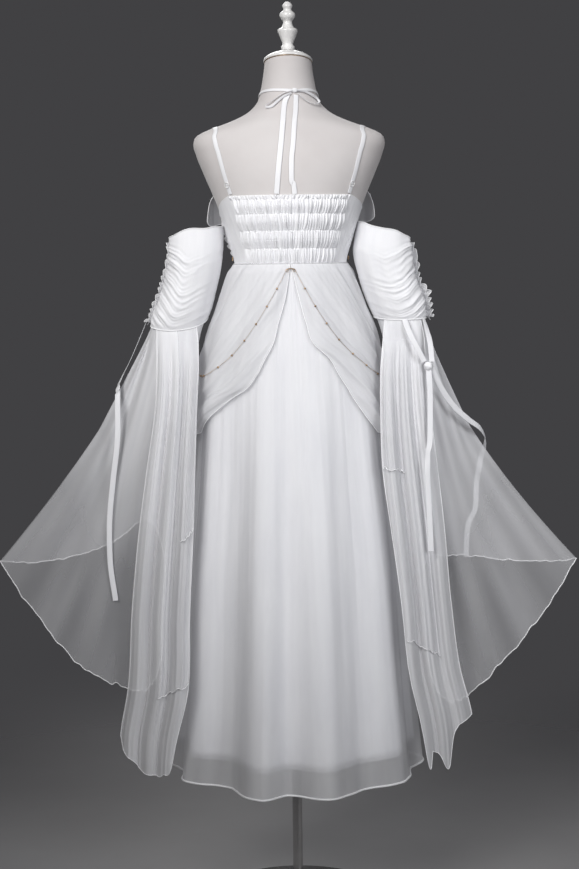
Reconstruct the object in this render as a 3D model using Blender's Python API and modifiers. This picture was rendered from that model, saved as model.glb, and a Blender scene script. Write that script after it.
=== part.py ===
"""A halter dress with detached bell sleeves, worn by a limbless dress form on a round stand.

Metres, +Z up, origin at the middle of the base's underside. The dress's front faces -Y, its
back +Y, and the wearer's left is +X. Angles are in degrees round the body: 0 is the centre
back and 90 the wearer's left side.
"""

from math import asin, cos, degrees, exp, pi, radians, sin

import bmesh
import bpy
import numpy as np
from mathutils import Vector


def table(columns, *rows):
    """Rows of sizes, as one array for each named column. The first column runs upwards."""
    return dict(zip(columns.split(), np.array(rows, float).T))


# The form: a turned-looking torso with a neck cap, on a pole and a round base.
FORM = table(
    "height half back front lean",
    (0.985, 0.146, 0.108, 0.098, 0.000),
    (1.020, 0.156, 0.117, 0.106, 0.000),
    (1.100, 0.157, 0.120, 0.106, 0.000),
    (1.168, 0.146, 0.112, 0.103, 0.000),
    (1.250, 0.1215, 0.095, 0.091, 0.000),
    (1.300, 0.1095, 0.086, 0.087, 0.000),
    (1.350, 0.121, 0.095, 0.106, 0.000),
    (1.395, 0.136, 0.104, 0.119, 0.000),
    (1.440, 0.1535, 0.107, 0.116, 0.000),
    (1.4815, 0.171, 0.106, 0.103, 0.000),
    (1.515, 0.184, 0.100, 0.092, 0.000),
    (1.541, 0.189, 0.093, 0.083, 0.000),
    (1.552, 0.184, 0.090, 0.079, 0.000),
    (1.5665, 0.155, 0.087, 0.076, 0.000),
    (1.575, 0.130, 0.085, 0.073, 0.000),
    (1.5914, 0.0915, 0.077, 0.068, -0.003),
    (1.6143, 0.0645, 0.067, 0.061, -0.007),
    (1.640, 0.0555, 0.058, 0.053, -0.010),
    (1.668, 0.050, 0.052, 0.049, -0.011),
    (1.696, 0.0463, 0.047, 0.047, -0.011),
)
FORM_ROWS = (
    0.985, 1.02, 1.06, 1.10, 1.15, 1.20, 1.25, 1.285, 1.30, 1.3125, 1.33, 1.36, 1.40, 1.44, 1.48,
    1.515, 1.535, 1.546, 1.556, 1.5665, 1.575, 1.584, 1.5935, 1.605, 1.620, 1.640, 1.668, 1.696,
)
FORM_SIDES = 22
NECK_TILT = 0.21
NECK_TILT_FROM = 1.62
NECK_TOP = 1.696
NECK_Y = -0.011
CAP = table(
    "rise radius level",
    (0.0004, 0.0478, 0.0),
    (0.0050, 0.0478, 0.0),
    (0.0120, 0.0400, 0.25),
    (0.0190, 0.0270, 0.6),
    (0.0245, 0.0130, 1.0),
)
FINIAL_FOOT = 1.7210
FINIAL = table(
    "rise radius",
    (0.0000, 0.0124),
    (0.0080, 0.0126),
    (0.0095, 0.0108),
    (0.0270, 0.0166),
    (0.0350, 0.0196),
    (0.0385, 0.0196),
    (0.0430, 0.0130),
    (0.0540, 0.0092),
    (0.0620, 0.0145),
    (0.0705, 0.0147),
    (0.0765, 0.0084),
    (0.0840, 0.0098),
    (0.0890, 0.0080),
    (0.0930, 0.0030),
)
FINIAL_SIDES = 16
POLE_RADIUS = 0.0100
BASE_RADIUS = 0.180
BASE_EDGE = 0.006
BASE_TOP = 0.012
HUB_RADIUS = 0.021
HUB_TOP = 0.050
BASE_SIDES = 32
SEAM = 0.0003

# The cloth's walls, by their middle surface's distance off the form.
CLOTH = 0.0010
FINE_CLOTH = 0.0008
BODICE_OUT = 0.0014
WAIST = 1.3005
SKIRT_TOP = 1.2997
SHIRRED_TO = 50.0
SIDE_FROM = 50.3
SIDE_TO = 91.6
FRONT_FROM = 91.9

# The shirred back: elastic lines with a puffed band between each two.
SHIRR = table(
    "height puff",
    (1.3005, 0.0004),
    (1.3145, 0.0022),
    (1.3300, 0.0002),
    (1.3470, 0.0026),
    (1.3645, 0.0002),
    (1.3810, 0.0026),
    (1.3970, 0.0002),
    (1.4125, 0.0024),
    (1.4250, 0.0002),
    (1.4315, 0.0004),
)
GATHERS = 40
GATHER_DEPTH = 0.0009
SHIRR_INSIDE = 0.0008
SHIRR_OUTSIDE = 0.0022
SHIRR_LINING_COLUMNS = 20

BODICE_TOP = table(
    "angle left right",
    (50.0, 1.4340, 1.4340),
    (70.0, 1.4180, 1.4200),
    (90.0, 1.3960, 1.4080),
    (105.0, 1.4020, 1.4120),
    (125.0, 1.4400, 1.4400),
    (150.0, 1.4560, 1.4560),
    (180.0, 1.4420, 1.4420),
)
FRONT_COLUMNS = 18
FRONT_ROWS = 10
SIDE_RUCHES = 4
SIDE_RUCHE_ANGLE = 108.0
SIDE_RUCHE_SPREAD = 9.0
SIDE_RUCHE = {1: 0.014, -1: 0.005}

DRAPE_TOP = table(
    "along left right",
    (0.0, 1.437, 1.437),
    (0.5, 1.444, 1.446),
    (1.0, 1.438, 1.446),
)
DRAPE_FOOT = table(
    "along left right",
    (0.0, 1.392, 1.392),
    (0.7, 1.383, 1.385),
    (1.0, 1.372, 1.381),
)
DRAPE_FROM = 179.85
DRAPE_TO = 99.0
DRAPE_OUT = 0.0032
DRAPE_FLARE = 0.036

# The skirts: section sizes down the length, and the folds at the hem.
SKIRT = table(
    "height half back front fold",
    (0.285, 0.245, 0.250, 0.238, 1.00),
    (0.418, 0.232, 0.230, 0.218, 0.88),
    (0.543, 0.222, 0.212, 0.200, 0.76),
    (0.693, 0.213, 0.190, 0.178, 0.62),
    (0.890, 0.192, 0.160, 0.150, 0.40),
    (0.960, 0.186, 0.150, 0.140, 0.28),
    (1.077, 0.174, 0.132, 0.124, 0.15),
    (1.135, 0.163, 0.124, 0.1175, 0.10),
    (1.175, 0.152, 0.1165, 0.1125, 0.07),
    (1.216, 0.137, 0.108, 0.106, 0.05),
    (1.270, 0.122, 0.0965, 0.0965, 0.03),
    (1.300, 0.1128, 0.0893, 0.0903, 0.02),
)
FOLDS = table(
    "angle depth",
    (-76.0, -0.012),
    (-56.0, 0.010),
    (-34.0, -0.010),
    (-13.0, 0.020),
    (4.0, -0.016),
    (15.0, 0.024),
    (39.0, -0.030),
    (60.0, 0.008),
    (76.0, -0.014),
    (93.0, 0.014),
    (112.0, -0.010),
    (132.0, 0.016),
    (153.0, -0.014),
    (188.0, 0.014),
    (208.0, -0.014),
    (230.0, 0.016),
    (252.0, -0.010),
    (268.0, 0.012),
    (284.0, -0.012),
)
SIDE_SEAM = 76.0
SEAM_ANGLE = 0.12
COLUMNS_A_FOLD = {"skirt": 3, "lining": 2}
SKIRT_ROWS = (1.27, 1.225, 1.17, 1.11, 1.03, 0.90, 0.72, 0.51, 0.285)
LINING_ROWS = (1.27, 1.225, 1.17, 1.11, 1.02, 0.80, 0.56, 0.335)
LINING_IN = table(
    "height gap",
    (0.335, 0.0100),
    (0.600, 0.0075),
    (0.890, 0.0050),
    (1.077, 0.0030),
    (1.216, 0.0022),
    (1.300, 0.0016),
)

OVERSKIRT_EDGE = table(
    "height left right",
    (0.940, 78.0, 66.0),
    (0.972, 69.0, 57.0),
    (0.999, 59.0, 49.0),
    (1.020, 50.0, 44.0),
    (1.045, 38.0, 38.5),
    (1.056, 31.0, 36.5),
    (1.085, 22.4, 30.5),
    (1.118, 17.0, 24.5),
    (1.145, 12.6, 15.0),
    (1.189, 9.2, 10.4),
    (1.239, 4.4, 6.2),
    (1.300, 0.6, 0.6),
)
OVERSKIRT_SIDE = 128.0
OVERSKIRT_FOOT = table("across height", (0.0, 0.970), (0.45, 0.952), (1.0, 0.990))
OVERSKIRT_ROWS = (0.0, 0.08, 0.22, 0.38, 0.50, 0.60, 0.69, 0.77, 0.88, 1.0)
OVERSKIRT_COLUMNS = 14
OVERSKIRT_FOLDS = 4
OVERSKIRT_OUT = 0.0018
OVERSKIRT_SPREAD = 0.0042
OVERSKIRT_FOLD = 0.0065

# The sleeves: six rings of the puff, then the wing's hem, then the cascade's edges.
PUFF = {
    1: table(
        "ring inner_x inner_z outer_x outer_z depth",
        (0, 0.1323, 1.3760, 0.2470, 1.3505, 0.046),
        (1, 0.1345, 1.3253, 0.2485, 1.3168, 0.054),
        (2, 0.1395, 1.2877, 0.2555, 1.2812, 0.058),
        (3, 0.1500, 1.2441, 0.2650, 1.2456, 0.060),
        (4, 0.1585, 1.2124, 0.2790, 1.2150, 0.060),
        (5, 0.1660, 1.1960, 0.2880, 1.1890, 0.056),
    ),
    -1: table(
        "ring inner_x inner_z outer_x outer_z depth",
        (0, 0.1347, 1.3820, 0.2437, 1.3443, 0.046),
        (1, 0.1250, 1.3231, 0.2480, 1.3200, 0.054),
        (2, 0.1345, 1.2760, 0.2530, 1.2780, 0.058),
        (3, 0.1450, 1.2400, 0.2650, 1.2480, 0.060),
        (4, 0.1570, 1.2100, 0.2720, 1.2169, 0.060),
        (5, 0.1650, 1.1930, 0.2760, 1.1930, 0.056),
    ),
}
PUFF_DIP = {1: 0.020, -1: 0.005}
PUFF_SIDES = 18
RUCHES = 6
RUCHE_DEPTH = 0.0070
FALL_IN = -0.0016
WING_IN = -0.0032
WING_HEM = table(
    "turn left_x left_z right_x right_z depth",
    (0, 0.595, 0.709, 0.571, 0.700, 0.000),
    (30, 0.530, 0.617, 0.507, 0.606, 0.030),
    (60, 0.440, 0.510, 0.425, 0.510, 0.044),
    (90, 0.355, 0.460, 0.345, 0.430, 0.046),
    (120, 0.300, 0.452, 0.300, 0.425, 0.042),
    (150, 0.274, 0.500, 0.274, 0.470, 0.024),
    (180, 0.264, 0.600, 0.264, 0.580, 0.000),
    (210, 0.266, 0.720, 0.266, 0.690, -0.024),
    (240, 0.300, 0.785, 0.300, 0.702, -0.042),
    (270, 0.362, 0.742, 0.370, 0.699, -0.050),
    (300, 0.440, 0.712, 0.452, 0.688, -0.050),
    (330, 0.525, 0.700, 0.535, 0.690, -0.032),
    (360, 0.595, 0.709, 0.571, 0.700, 0.000),
)
WING_ROWS = (0.0, 0.07, 0.18, 0.32, 0.48, 0.65, 0.83, 1.0)
WING_INNER_BEND = 0.7
WING_OUTER_BEND = {1: 1.3, -1: 1.5}
FALL_TURNS = (49.0, 132.0)
FALL = {
    1: table(
        "height outer_x outer_y inner_x inner_y fold arch",
        (0.290, 0.352, 0.098, 0.238, 0.166, 0.009, 0.000),
        (0.370, 0.350, 0.098, 0.230, 0.166, 0.009, 0.000),
        (0.460, 0.334, 0.098, 0.212, 0.166, 0.012, 0.000),
        (0.625, 0.322, 0.095, 0.205, 0.152, 0.014, 0.000),
        (0.790, 0.304, 0.090, 0.196, 0.137, 0.013, 0.000),
        (0.900, 0.288, 0.086, 0.192, 0.118, 0.012, 0.000),
        (1.040, 0.268, 0.078, 0.186, 0.096, 0.009, 0.002),
        (1.100, 0.266, 0.066, 0.183, 0.078, 0.006, 0.006),
        (1.150, 0.266, 0.050, 0.184, 0.054, 0.002, 0.010),
    ),
    -1: table(
        "height outer_x outer_y inner_x inner_y fold arch",
        (0.290, 0.352, 0.098, 0.240, 0.166, 0.009, 0.000),
        (0.400, 0.350, 0.098, 0.226, 0.166, 0.009, 0.000),
        (0.500, 0.326, 0.098, 0.208, 0.164, 0.012, 0.000),
        (0.625, 0.310, 0.095, 0.200, 0.154, 0.014, 0.000),
        (0.790, 0.296, 0.090, 0.184, 0.142, 0.013, 0.000),
        (0.900, 0.284, 0.086, 0.174, 0.128, 0.012, 0.000),
        (1.040, 0.268, 0.078, 0.172, 0.104, 0.009, 0.002),
        (1.100, 0.264, 0.066, 0.174, 0.084, 0.006, 0.006),
        (1.150, 0.262, 0.050, 0.180, 0.056, 0.002, 0.010),
    ),
}
FALL_HEM = {
    1: table(
        "across height",
        (0.00, 0.371),
        (0.08, 0.345),
        (0.25, 0.322),
        (0.42, 0.306),
        (0.60, 0.302),
        (0.78, 0.306),
        (0.92, 0.345),
        (1.00, 0.480),
    ),
    -1: table(
        "across height",
        (0.00, 0.405),
        (0.25, 0.385),
        (0.38, 0.355),
        (0.46, 0.308),
        (0.58, 0.335),
        (0.72, 0.345),
        (0.84, 0.365),
        (0.92, 0.720),
        (1.00, 0.900),
    ),
}
FALL_TUCK = 0.25
FALL_START = 1.150
FALL_ROWS = (0.0, 0.07, 0.17, 0.31, 0.47, 0.64, 0.82, 1.0)
FALL_COLUMNS = 12
FALL_FOLDS = 3

# Ribbons: width and route. Those on the form are given by angle and height.
RIBBON_OUT = 0.0015
ROUTE_STEPS = 2
STRAP_WIDTH = 0.0095
STRAP_ROUTE = (
    (49.0, 1.4360), (48.6, 1.4750), (48.0, 1.5200), (49.5, 1.5420), (53.0, 1.5560), (60.0, 1.5630),
    (72.0, 1.5680), (90.0, 1.5695), (108.0, 1.5680), (119.0, 1.5610), (126.0, 1.5480), (130.0, 1.5200),
    (132.0, 1.4850), (133.0, 1.4530),
)
SLIDER_HEIGHT = 1.4535
SLIDER_RADIUS = 0.0052
SLIDER_WIRE = 0.0008
BAND_WIDTH = 0.0055
BAND_ROUTE = (
    (158.0, 1.4600), (156.0, 1.4950), (152.0, 1.5300), (146.0, 1.5620), (136.0, 1.5880), (120.0, 1.6120),
    (100.0, 1.6270), (80.0, 1.6340), (60.0, 1.6370), (40.0, 1.6380), (20.0, 1.6375),
)
KNOT = (-0.0119, 1.6356)
KNOT_SIZE = (0.0052, 0.0022, 0.0045)
KNOT_OUT = 0.0033
TAIL_OUT = 0.0016
TAIL_WIDTH = 0.0105
TAIL_LEFT = (
    (0.0022, 1.6270), (0.0085, 1.6080), (0.0120, 1.5700), (0.0165, 1.5250), (0.0215, 1.4800),
    (0.0255, 1.4350),
)
TAIL_RIGHT = (
    (-0.0145, 1.6270), (-0.0140, 1.6080), (-0.0105, 1.5700), (-0.0075, 1.5300), (-0.0040, 1.4950),
    (-0.0035, 1.4680), (-0.0080, 1.4500), (-0.0095, 1.4340),
)
LOOP_WIDTH = 0.0040
LOOP_OUT = 0.0052
LOOP_LEFT = (
    (-0.0060, 1.6350), (0.0080, 1.6315), (0.0240, 1.6225), (0.0380, 1.6120), (0.0450, 1.6068),
    (0.0440, 1.6042), (0.0360, 1.6045), (0.0240, 1.6130), (0.0100, 1.6240), (-0.0055, 1.6305),
)
LOOP_RIGHT = (
    (-0.0180, 1.6355), (-0.0300, 1.6345), (-0.0440, 1.6290), (-0.0560, 1.6220), (-0.0600, 1.6160),
    (-0.0550, 1.6110), (-0.0440, 1.6110), (-0.0320, 1.6180), (-0.0185, 1.6300),
)

TIE_WIDTH = 0.0120
TIE_LEFT = (
    (0.2893, 0.000, 1.1880, 90), (0.3030, 0.002, 1.1560, 90), (0.3200, 0.004, 1.1180, 88),
    (0.3395, 0.008, 1.0800, 75), (0.3470, 0.024, 1.0560, 30), (0.3465, 0.044, 1.0250, 8),
    (0.3475, 0.053, 0.9550, 0), (0.3582, 0.054, 0.8718, 0), (0.3666, 0.055, 0.7882, 0),
    (0.3668, 0.056, 0.7181, 0), (0.3575, 0.056, 0.6355, 0),
)
TIE_RIGHT_INNER = (
    (-0.2228, 0.0576, 1.1885, 0), (-0.2290, 0.0730, 1.1680, 0), (-0.2460, 0.0850, 1.1320, 0),
    (-0.2590, 0.0860, 1.1069, 0),
)
TIE_RIGHT_OUTER = (
    (-0.2614, 0.0401, 1.1892, -45), (-0.2665, 0.0560, 1.1680, -30), (-0.2720, 0.0740, 1.1380, -10),
    (-0.2738, 0.0845, 1.1069, 0),
)
TIE_KNOT = (-0.2665, 0.0850, 1.0985)
TIE_KNOT_SIZE = (0.0075, 0.0060, 0.0078)
TIE_TAIL_LONG = (
    (-0.2675, 0.0854, 1.0904, 0), (-0.2690, 0.0930, 1.0573, 0), (-0.2682, 0.1060, 0.9847, 0),
    (-0.2622, 0.1160, 0.9277, 30), (-0.2619, 0.1220, 0.8763, -20), (-0.2645, 0.1260, 0.8050, 0),
    (-0.2670, 0.1280, 0.7393, 0),
)
TIE_TAIL_BACK = (
    (-0.2736, 0.0823, 1.0936, 0), (-0.2920, 0.0720, 1.0560, 0), (-0.3180, 0.0580, 1.0180, -10),
    (-0.3500, 0.0400, 0.9880, -35), (-0.3750, 0.0200, 0.9680, -70), (-0.3870, -0.0040, 0.9480, -95),
    (-0.3880, -0.0280, 0.9240, -130), (-0.3820, -0.0500, 0.8950, -165), (-0.3750, -0.0590, 0.8431, -180),
    (-0.3730, -0.0600, 0.8000, -180), (-0.3578, -0.0610, 0.7600, -180), (-0.3535, -0.0610, 0.6958, -180),
)

CHAIN = table(
    "angle height",
    (4.5, 1.2865),
    (11.0, 1.2540),
    (18.0, 1.2180),
    (24.3, 1.1845),
    (31.0, 1.1555),
    (39.5, 1.1280),
    (50.0, 1.1040),
    (60.0, 1.0870),
    (69.0, 1.0795),
    (78.0, 1.0810),
    (95.0, 1.1050),
    (110.0, 1.1700),
    (118.0, 1.2400),
    (122.0, 1.2900),
)
CHAIN_POINTS = 26
CHAIN_RADIUS = 0.0007
CHAIN_OUT = 0.0026
CLASP_SIZE = (0.0170, 0.0030, 0.0040)
CLASP_HEIGHT = 1.2890
ORNAMENT_SIZE = (0.0022, 0.0045, 0.0045)
ORNAMENT_HEIGHT = 1.3110

COLOURS = {
    "ivory_jersey": ((0.78, 0.74, 0.71), 0.75, 0.0),
    "white_lacquer": ((0.82, 0.80, 0.79), 0.28, 0.0),
    "bright_steel": ((0.55, 0.55, 0.56), 0.25, 1.0),
    "white_satin": ((0.84, 0.84, 0.86), 0.55, 0.0),
    "white_chiffon": ((0.80, 0.80, 0.83), 0.65, 0.0),
    "white_ribbon": ((0.84, 0.84, 0.85), 0.45, 0.0),
    "pale_gold": ((0.62, 0.50, 0.31), 0.35, 1.0),
}


# Reading the tables.
def mix(start, end, share):
    return start + (end - start) * share


def read(rows, at, wanted):
    """One column's value where the first column is `at`, on a smooth curve through the rows."""
    keys = next(iter(rows.values()))
    values = rows[wanted]
    slopes = np.gradient(values, keys)
    row = int(np.clip(np.searchsorted(keys, at) - 1, 0, len(keys) - 2))
    step = keys[row + 1] - keys[row]
    t = min(max((at - keys[row]) / step, 0.0), 1.0)
    rise = values[row + 1] - values[row]
    return float(
        values[row]
        + rise * t * t * (3 - 2 * t)
        + step * slopes[row] * t * (1 - t) ** 2
        - step * slopes[row + 1] * t * t * (1 - t)
    )


def eased(rows, at, wanted):
    """One column's value, level at each row, for crests and valleys."""
    keys = next(iter(rows.values()))
    row = int(np.clip(np.searchsorted(keys, at) - 1, 0, len(keys) - 2))
    t = min(max((at - keys[row]) / (keys[row + 1] - keys[row]), 0.0), 1.0)
    return float(mix(rows[wanted][row], rows[wanted][row + 1], (1 - cos(pi * t)) / 2))


def side_name(side):
    return "left" if side > 0 else "right"


# Making objects.
def material(name):
    colour, roughness, metallic = COLOURS[name]
    made = bpy.data.materials.new(name)
    made.use_nodes = True
    made.diffuse_color = (*colour, 1.0)
    shader = made.node_tree.nodes["Principled BSDF"]
    shader.inputs["Base Color"].default_value = (*colour, 1.0)
    shader.inputs["Roughness"].default_value = roughness
    shader.inputs["Metallic"].default_value = metallic
    return made


def add(name, mesh, finish):
    made = bpy.data.objects.new(name, mesh)
    mesh.materials.append(material(finish))
    COLLECTION.objects.link(made)
    return made


def from_bmesh(name, body, finish):
    bmesh.ops.recalc_face_normals(body, faces=body.faces)
    mesh = bpy.data.meshes.new(name)
    body.to_mesh(mesh)
    body.free()
    mesh.shade_smooth()
    return add(name, mesh, finish)


def lofted(body, rows, closed=False):
    """Faces between each two rows of points; closed joins each row's ends round."""
    made = [[body.verts.new(point) for point in row] for row in rows]
    last = len(rows[0]) if closed else len(rows[0]) - 1
    for upper, lower in zip(made, made[1:]):
        for i in range(last):
            j = (i + 1) % len(upper)
            body.faces.new((upper[i], upper[j], lower[j], lower[i]))
    return made


def solid(name, rows, finish):
    """A closed body through rings of points, with flat ends."""
    body = bmesh.new()
    made = lofted(body, rows, closed=True)
    body.faces.new(made[0])
    body.faces.new(made[-1])
    return from_bmesh(name, body, finish)


def cloth(name, rows, finish, closed=False, thickness=CLOTH):
    """A wall of cloth on both sides of the surface through the rows."""
    body = bmesh.new()
    lofted(body, rows, closed)
    made = from_bmesh(name, body, finish)
    wall = made.modifiers.new("wall", "SOLIDIFY")
    wall.thickness = thickness
    wall.offset = 0.0
    return made


def stitch(body, fine, coarse):
    """Triangles between two edges that have different numbers of points."""
    i = j = 0
    while i < len(fine) - 1 or j < len(coarse) - 1:
        step_fine = (i + 1) / (len(fine) - 1)
        step_coarse = (j + 1) / (len(coarse) - 1)
        if j == len(coarse) - 1 or (i < len(fine) - 1 and step_fine <= step_coarse):
            body.faces.new((fine[i], fine[i + 1], coarse[j]))
            i += 1
        else:
            body.faces.new((fine[i], coarse[j + 1], coarse[j]))
            j += 1


def relief_wall(name, outer, inner, finish):
    """A wall whose outer side has more points than its plain inner side."""
    body = bmesh.new()
    front = lofted(body, outer)
    back = lofted(body, inner)
    stitch(body, front[0], back[0])
    stitch(body, front[-1], back[-1])
    for end in (0, -1):
        stitch(body, [row[end] for row in front], [row[end] for row in back])
    return from_bmesh(name, body, finish)


def turned(name, profile, sides, finish):
    """A turned solid. The profile of (radius, height) runs down from the axis to the axis."""
    body = bmesh.new()
    points = [body.verts.new((radius, 0.0, height)) for radius, height in profile]
    for upper, lower in zip(points, points[1:]):
        body.edges.new((upper, lower))
    mesh = bpy.data.meshes.new(name)
    body.to_mesh(mesh)
    body.free()
    made = add(name, mesh, finish)
    screw = made.modifiers.new("turn", "SCREW")
    screw.steps = sides
    screw.render_steps = sides
    screw.use_merge_vertices = True
    screw.merge_threshold = 0.00005
    screw.use_smooth_shade = True
    return made


def ribbon(name, centres, facings, width, thickness=FINE_CLOTH, finish="white_ribbon"):
    """A strip of cloth along the centres, whose face looks along each facing."""
    rows = []
    for i, (centre, facing) in enumerate(zip(centres, facings)):
        ahead = centres[min(i + 1, len(centres) - 1)]
        behind = centres[max(i - 1, 0)]
        across = (ahead - behind).cross(facing).normalized() * width / 2
        rows.append([centre - across, centre + across])
    return cloth(name, rows, finish, thickness=thickness)


def bead(name, place, size, finish):
    body = bmesh.new()
    bmesh.ops.create_uvsphere(body, u_segments=10, v_segments=6, radius=1.0)
    bmesh.ops.scale(body, vec=Vector(size), verts=body.verts)
    made = from_bmesh(name, body, finish)
    made.location = place
    return made


# The body's surface, and cloth that follows it.
def form_point(angle, height, out=0.0):
    """A point on the form, or `out` off it."""
    turn = radians(angle)
    depth = read(FORM, height, "back" if cos(turn) > 0 else "front") + out
    x = (read(FORM, height, "half") + out) * sin(turn)
    y = depth * cos(turn)
    share = min(max((height - NECK_TILT_FROM) / (NECK_TOP - NECK_TILT_FROM), 0.0), 1.0)
    return Vector((x, y + read(FORM, height, "lean"), height + NECK_TILT * share * share * y))


def form_facing(angle, height):
    """The direction straight off the form there."""
    step = 0.002
    across = form_point(angle + 1.0, height) - form_point(angle - 1.0, height)
    up = form_point(angle, height + step) - form_point(angle, height - step)
    return across.cross(up).normalized() * -1.0


def form_at(x, height, out):
    """The point off the back of the form at a given distance from the middle."""
    half = read(FORM, height, "half") + out
    return form_point(degrees(asin(x / half)), height, out)


def make_form():
    angles = [360.0 * i / FORM_SIDES for i in range(FORM_SIDES)]
    solid("form_torso", [[form_point(a, h) for a in angles] for h in FORM_ROWS], "ivory_jersey")
    rows = []
    for rise, radius, level in zip(CAP["rise"], CAP["radius"], CAP["level"]):
        ring = []
        for angle in angles:
            y = radius * cos(radians(angle))
            tilt = NECK_TILT * (1.0 - level) * y
            ring.append(Vector((radius * sin(radians(angle)), NECK_Y + y, NECK_TOP + rise + tilt)))
        rows.append(ring)
    solid("form_cap", rows, "white_lacquer")
    rises = list(zip(FINIAL["radius"], FINIAL["rise"]))
    profile = [(0.0, rises[-1][1] + 0.0006)] + rises[::-1] + [(0.0, 0.0)]
    finial = turned("form_finial", profile, FINIAL_SIDES, "white_lacquer")
    finial.location = (0.0, NECK_Y, FINIAL_FOOT)


def make_stand():
    foot = FORM["height"][0] - SEAM
    profile = [(0.0, foot), (POLE_RADIUS, foot), (POLE_RADIUS, HUB_TOP + SEAM), (0.0, HUB_TOP + SEAM)]
    turned("stand_pole", profile, 24, "bright_steel")
    profile = [
        (0.0, HUB_TOP),
        (HUB_RADIUS, HUB_TOP),
        (HUB_RADIUS, BASE_TOP),
        (BASE_RADIUS - 0.004, BASE_EDGE + 0.001),
        (BASE_RADIUS, BASE_EDGE - 0.002),
        (BASE_RADIUS, 0.0),
        (0.0, 0.0),
    ]
    turned("stand_base", profile, BASE_SIDES, "bright_steel")


# The bodice.
def shirr_point(angle, row, gather):
    """A point on the shirred back's outer side; gather is 1 on a gather's crest and 0 between two."""
    height = SHIRR["height"][row]
    puff = SHIRR["puff"][row]
    depth = GATHER_DEPTH * (0.3 + puff / 0.0026)
    return form_point(angle, height, SHIRR_OUTSIDE + puff + depth * (gather - 0.5))


def make_bodice():
    columns = 2 * GATHERS
    outer = []
    for row in range(len(SHIRR["height"])):
        angles = [mix(-SHIRRED_TO, SHIRRED_TO, i / columns) for i in range(columns + 1)]
        outer.append([shirr_point(a, row, i % 2) for i, a in enumerate(angles)])
    inner = []
    for height in SHIRR["height"][[0, 2, 4, 6, 8, 9]]:
        shares = [i / SHIRR_LINING_COLUMNS for i in range(SHIRR_LINING_COLUMNS + 1)]
        angles = [mix(-SHIRRED_TO, SHIRRED_TO, share) for share in shares]
        inner.append([form_point(a, height, SHIRR_INSIDE) for a in angles])
    relief_wall("bodice_back", outer, inner, "white_satin")
    for side in (1, -1):
        rows = []
        for i in range(6):
            angles = [mix(SIDE_FROM, SIDE_TO, j / 5) for j in range(6)]
            rows.append([bodice_point(side, angle, i / 5) for angle in angles])
        cloth(f"bodice_side_{side_name(side)}", rows, "white_satin")
    rows = []
    for i in range(FRONT_ROWS + 1):
        row = []
        for j in range(FRONT_COLUMNS + 1):
            angle = mix(FRONT_FROM, 360.0 - FRONT_FROM, j / FRONT_COLUMNS)
            side = 1 if angle <= 180.0 else -1
            row.append(bodice_point(side, angle if side > 0 else 360.0 - angle, i / FRONT_ROWS))
        rows.append(row)
    cloth("bodice_front", rows, "white_satin")


def bodice_point(side, angle, down):
    """A point on the bodice's side or front, from its top edge, 0, to the waist, 1."""
    top = read(BODICE_TOP, angle, side_name(side))
    height = mix(top, WAIST, down)
    near_seam = exp(-(((angle - SIDE_RUCHE_ANGLE) / SIDE_RUCHE_SPREAD) ** 2))
    ruche = 0.55 - 0.45 * cos(2 * pi * SIDE_RUCHES * down)
    out = SIDE_RUCHE[side] * near_seam * ruche * sin(pi * down)
    return form_point(side * angle, height, BODICE_OUT + out)


def drape_point(side, along, down):
    """A point on the flounce over the bust, from the centre front to its free tip at the armpit."""
    name = side_name(side)
    height = mix(read(DRAPE_TOP, along, name), read(DRAPE_FOOT, along, name), down)
    flare = DRAPE_FLARE * along**2.2 * (0.08 + 0.92 * down)
    fold = 0.0035 * along * (1 - cos(2 * pi * 2 * along)) * down
    return form_point(side * mix(DRAPE_FROM, DRAPE_TO, along), height, DRAPE_OUT + flare + fold)


def make_drapes():
    for side in (1, -1):
        rows = [[drape_point(side, i / 12, row / 4) for i in range(13)] for row in range(5)]
        cloth(f"front_drape_{side_name(side)}", rows, "white_chiffon", thickness=FINE_CLOTH)


# The skirts.
def skirt_point(angle, height, out=0.0):
    """A point on the outer skirt, or `out` off it."""
    folded = angle if angle >= FOLDS["angle"][0] else angle + 360.0
    turn = radians(angle)
    push = out + read(SKIRT, height, "fold") * eased(FOLDS, folded, "depth")
    depth = read(SKIRT, height, "back" if cos(turn) > 0 else "front") + push
    return Vector(((read(SKIRT, height, "half") + push) * sin(turn), depth * cos(turn), height))


def lining_point(angle, height):
    return skirt_point(angle, height, -read(LINING_IN, height, "gap"))


def panel_angles(start, end, columns):
    """A panel's columns: the same number across each fold's side, from seam to seam."""
    stops = [angle for angle in FOLDS["angle"] if start - 0.5 <= angle <= end + 0.5]
    angles = []
    for low, high in zip(stops, stops[1:]):
        angles += [mix(low, high, i / columns) for i in range(columns)]
    angles.append(stops[-1])
    angles[0] += SEAM_ANGLE
    angles[-1] -= SEAM_ANGLE
    return angles


def make_skirts():
    panels = {"back": (-SIDE_SEAM, SIDE_SEAM), "front": (SIDE_SEAM, 360.0 - SIDE_SEAM)}
    for panel, (start, end) in panels.items():
        angles = panel_angles(start, end, COLUMNS_A_FOLD["skirt"])
        rows = [[skirt_point(a, h) for a in angles] for h in (SKIRT_TOP, *SKIRT_ROWS)]
        cloth(f"skirt_{panel}", rows, "white_chiffon")
        angles = panel_angles(start, end, COLUMNS_A_FOLD["lining"])
        rows = [[lining_point(a, h) for a in angles] for h in (SKIRT_TOP, *LINING_ROWS)]
        cloth(f"lining_{panel}", rows, "white_satin")


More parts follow.
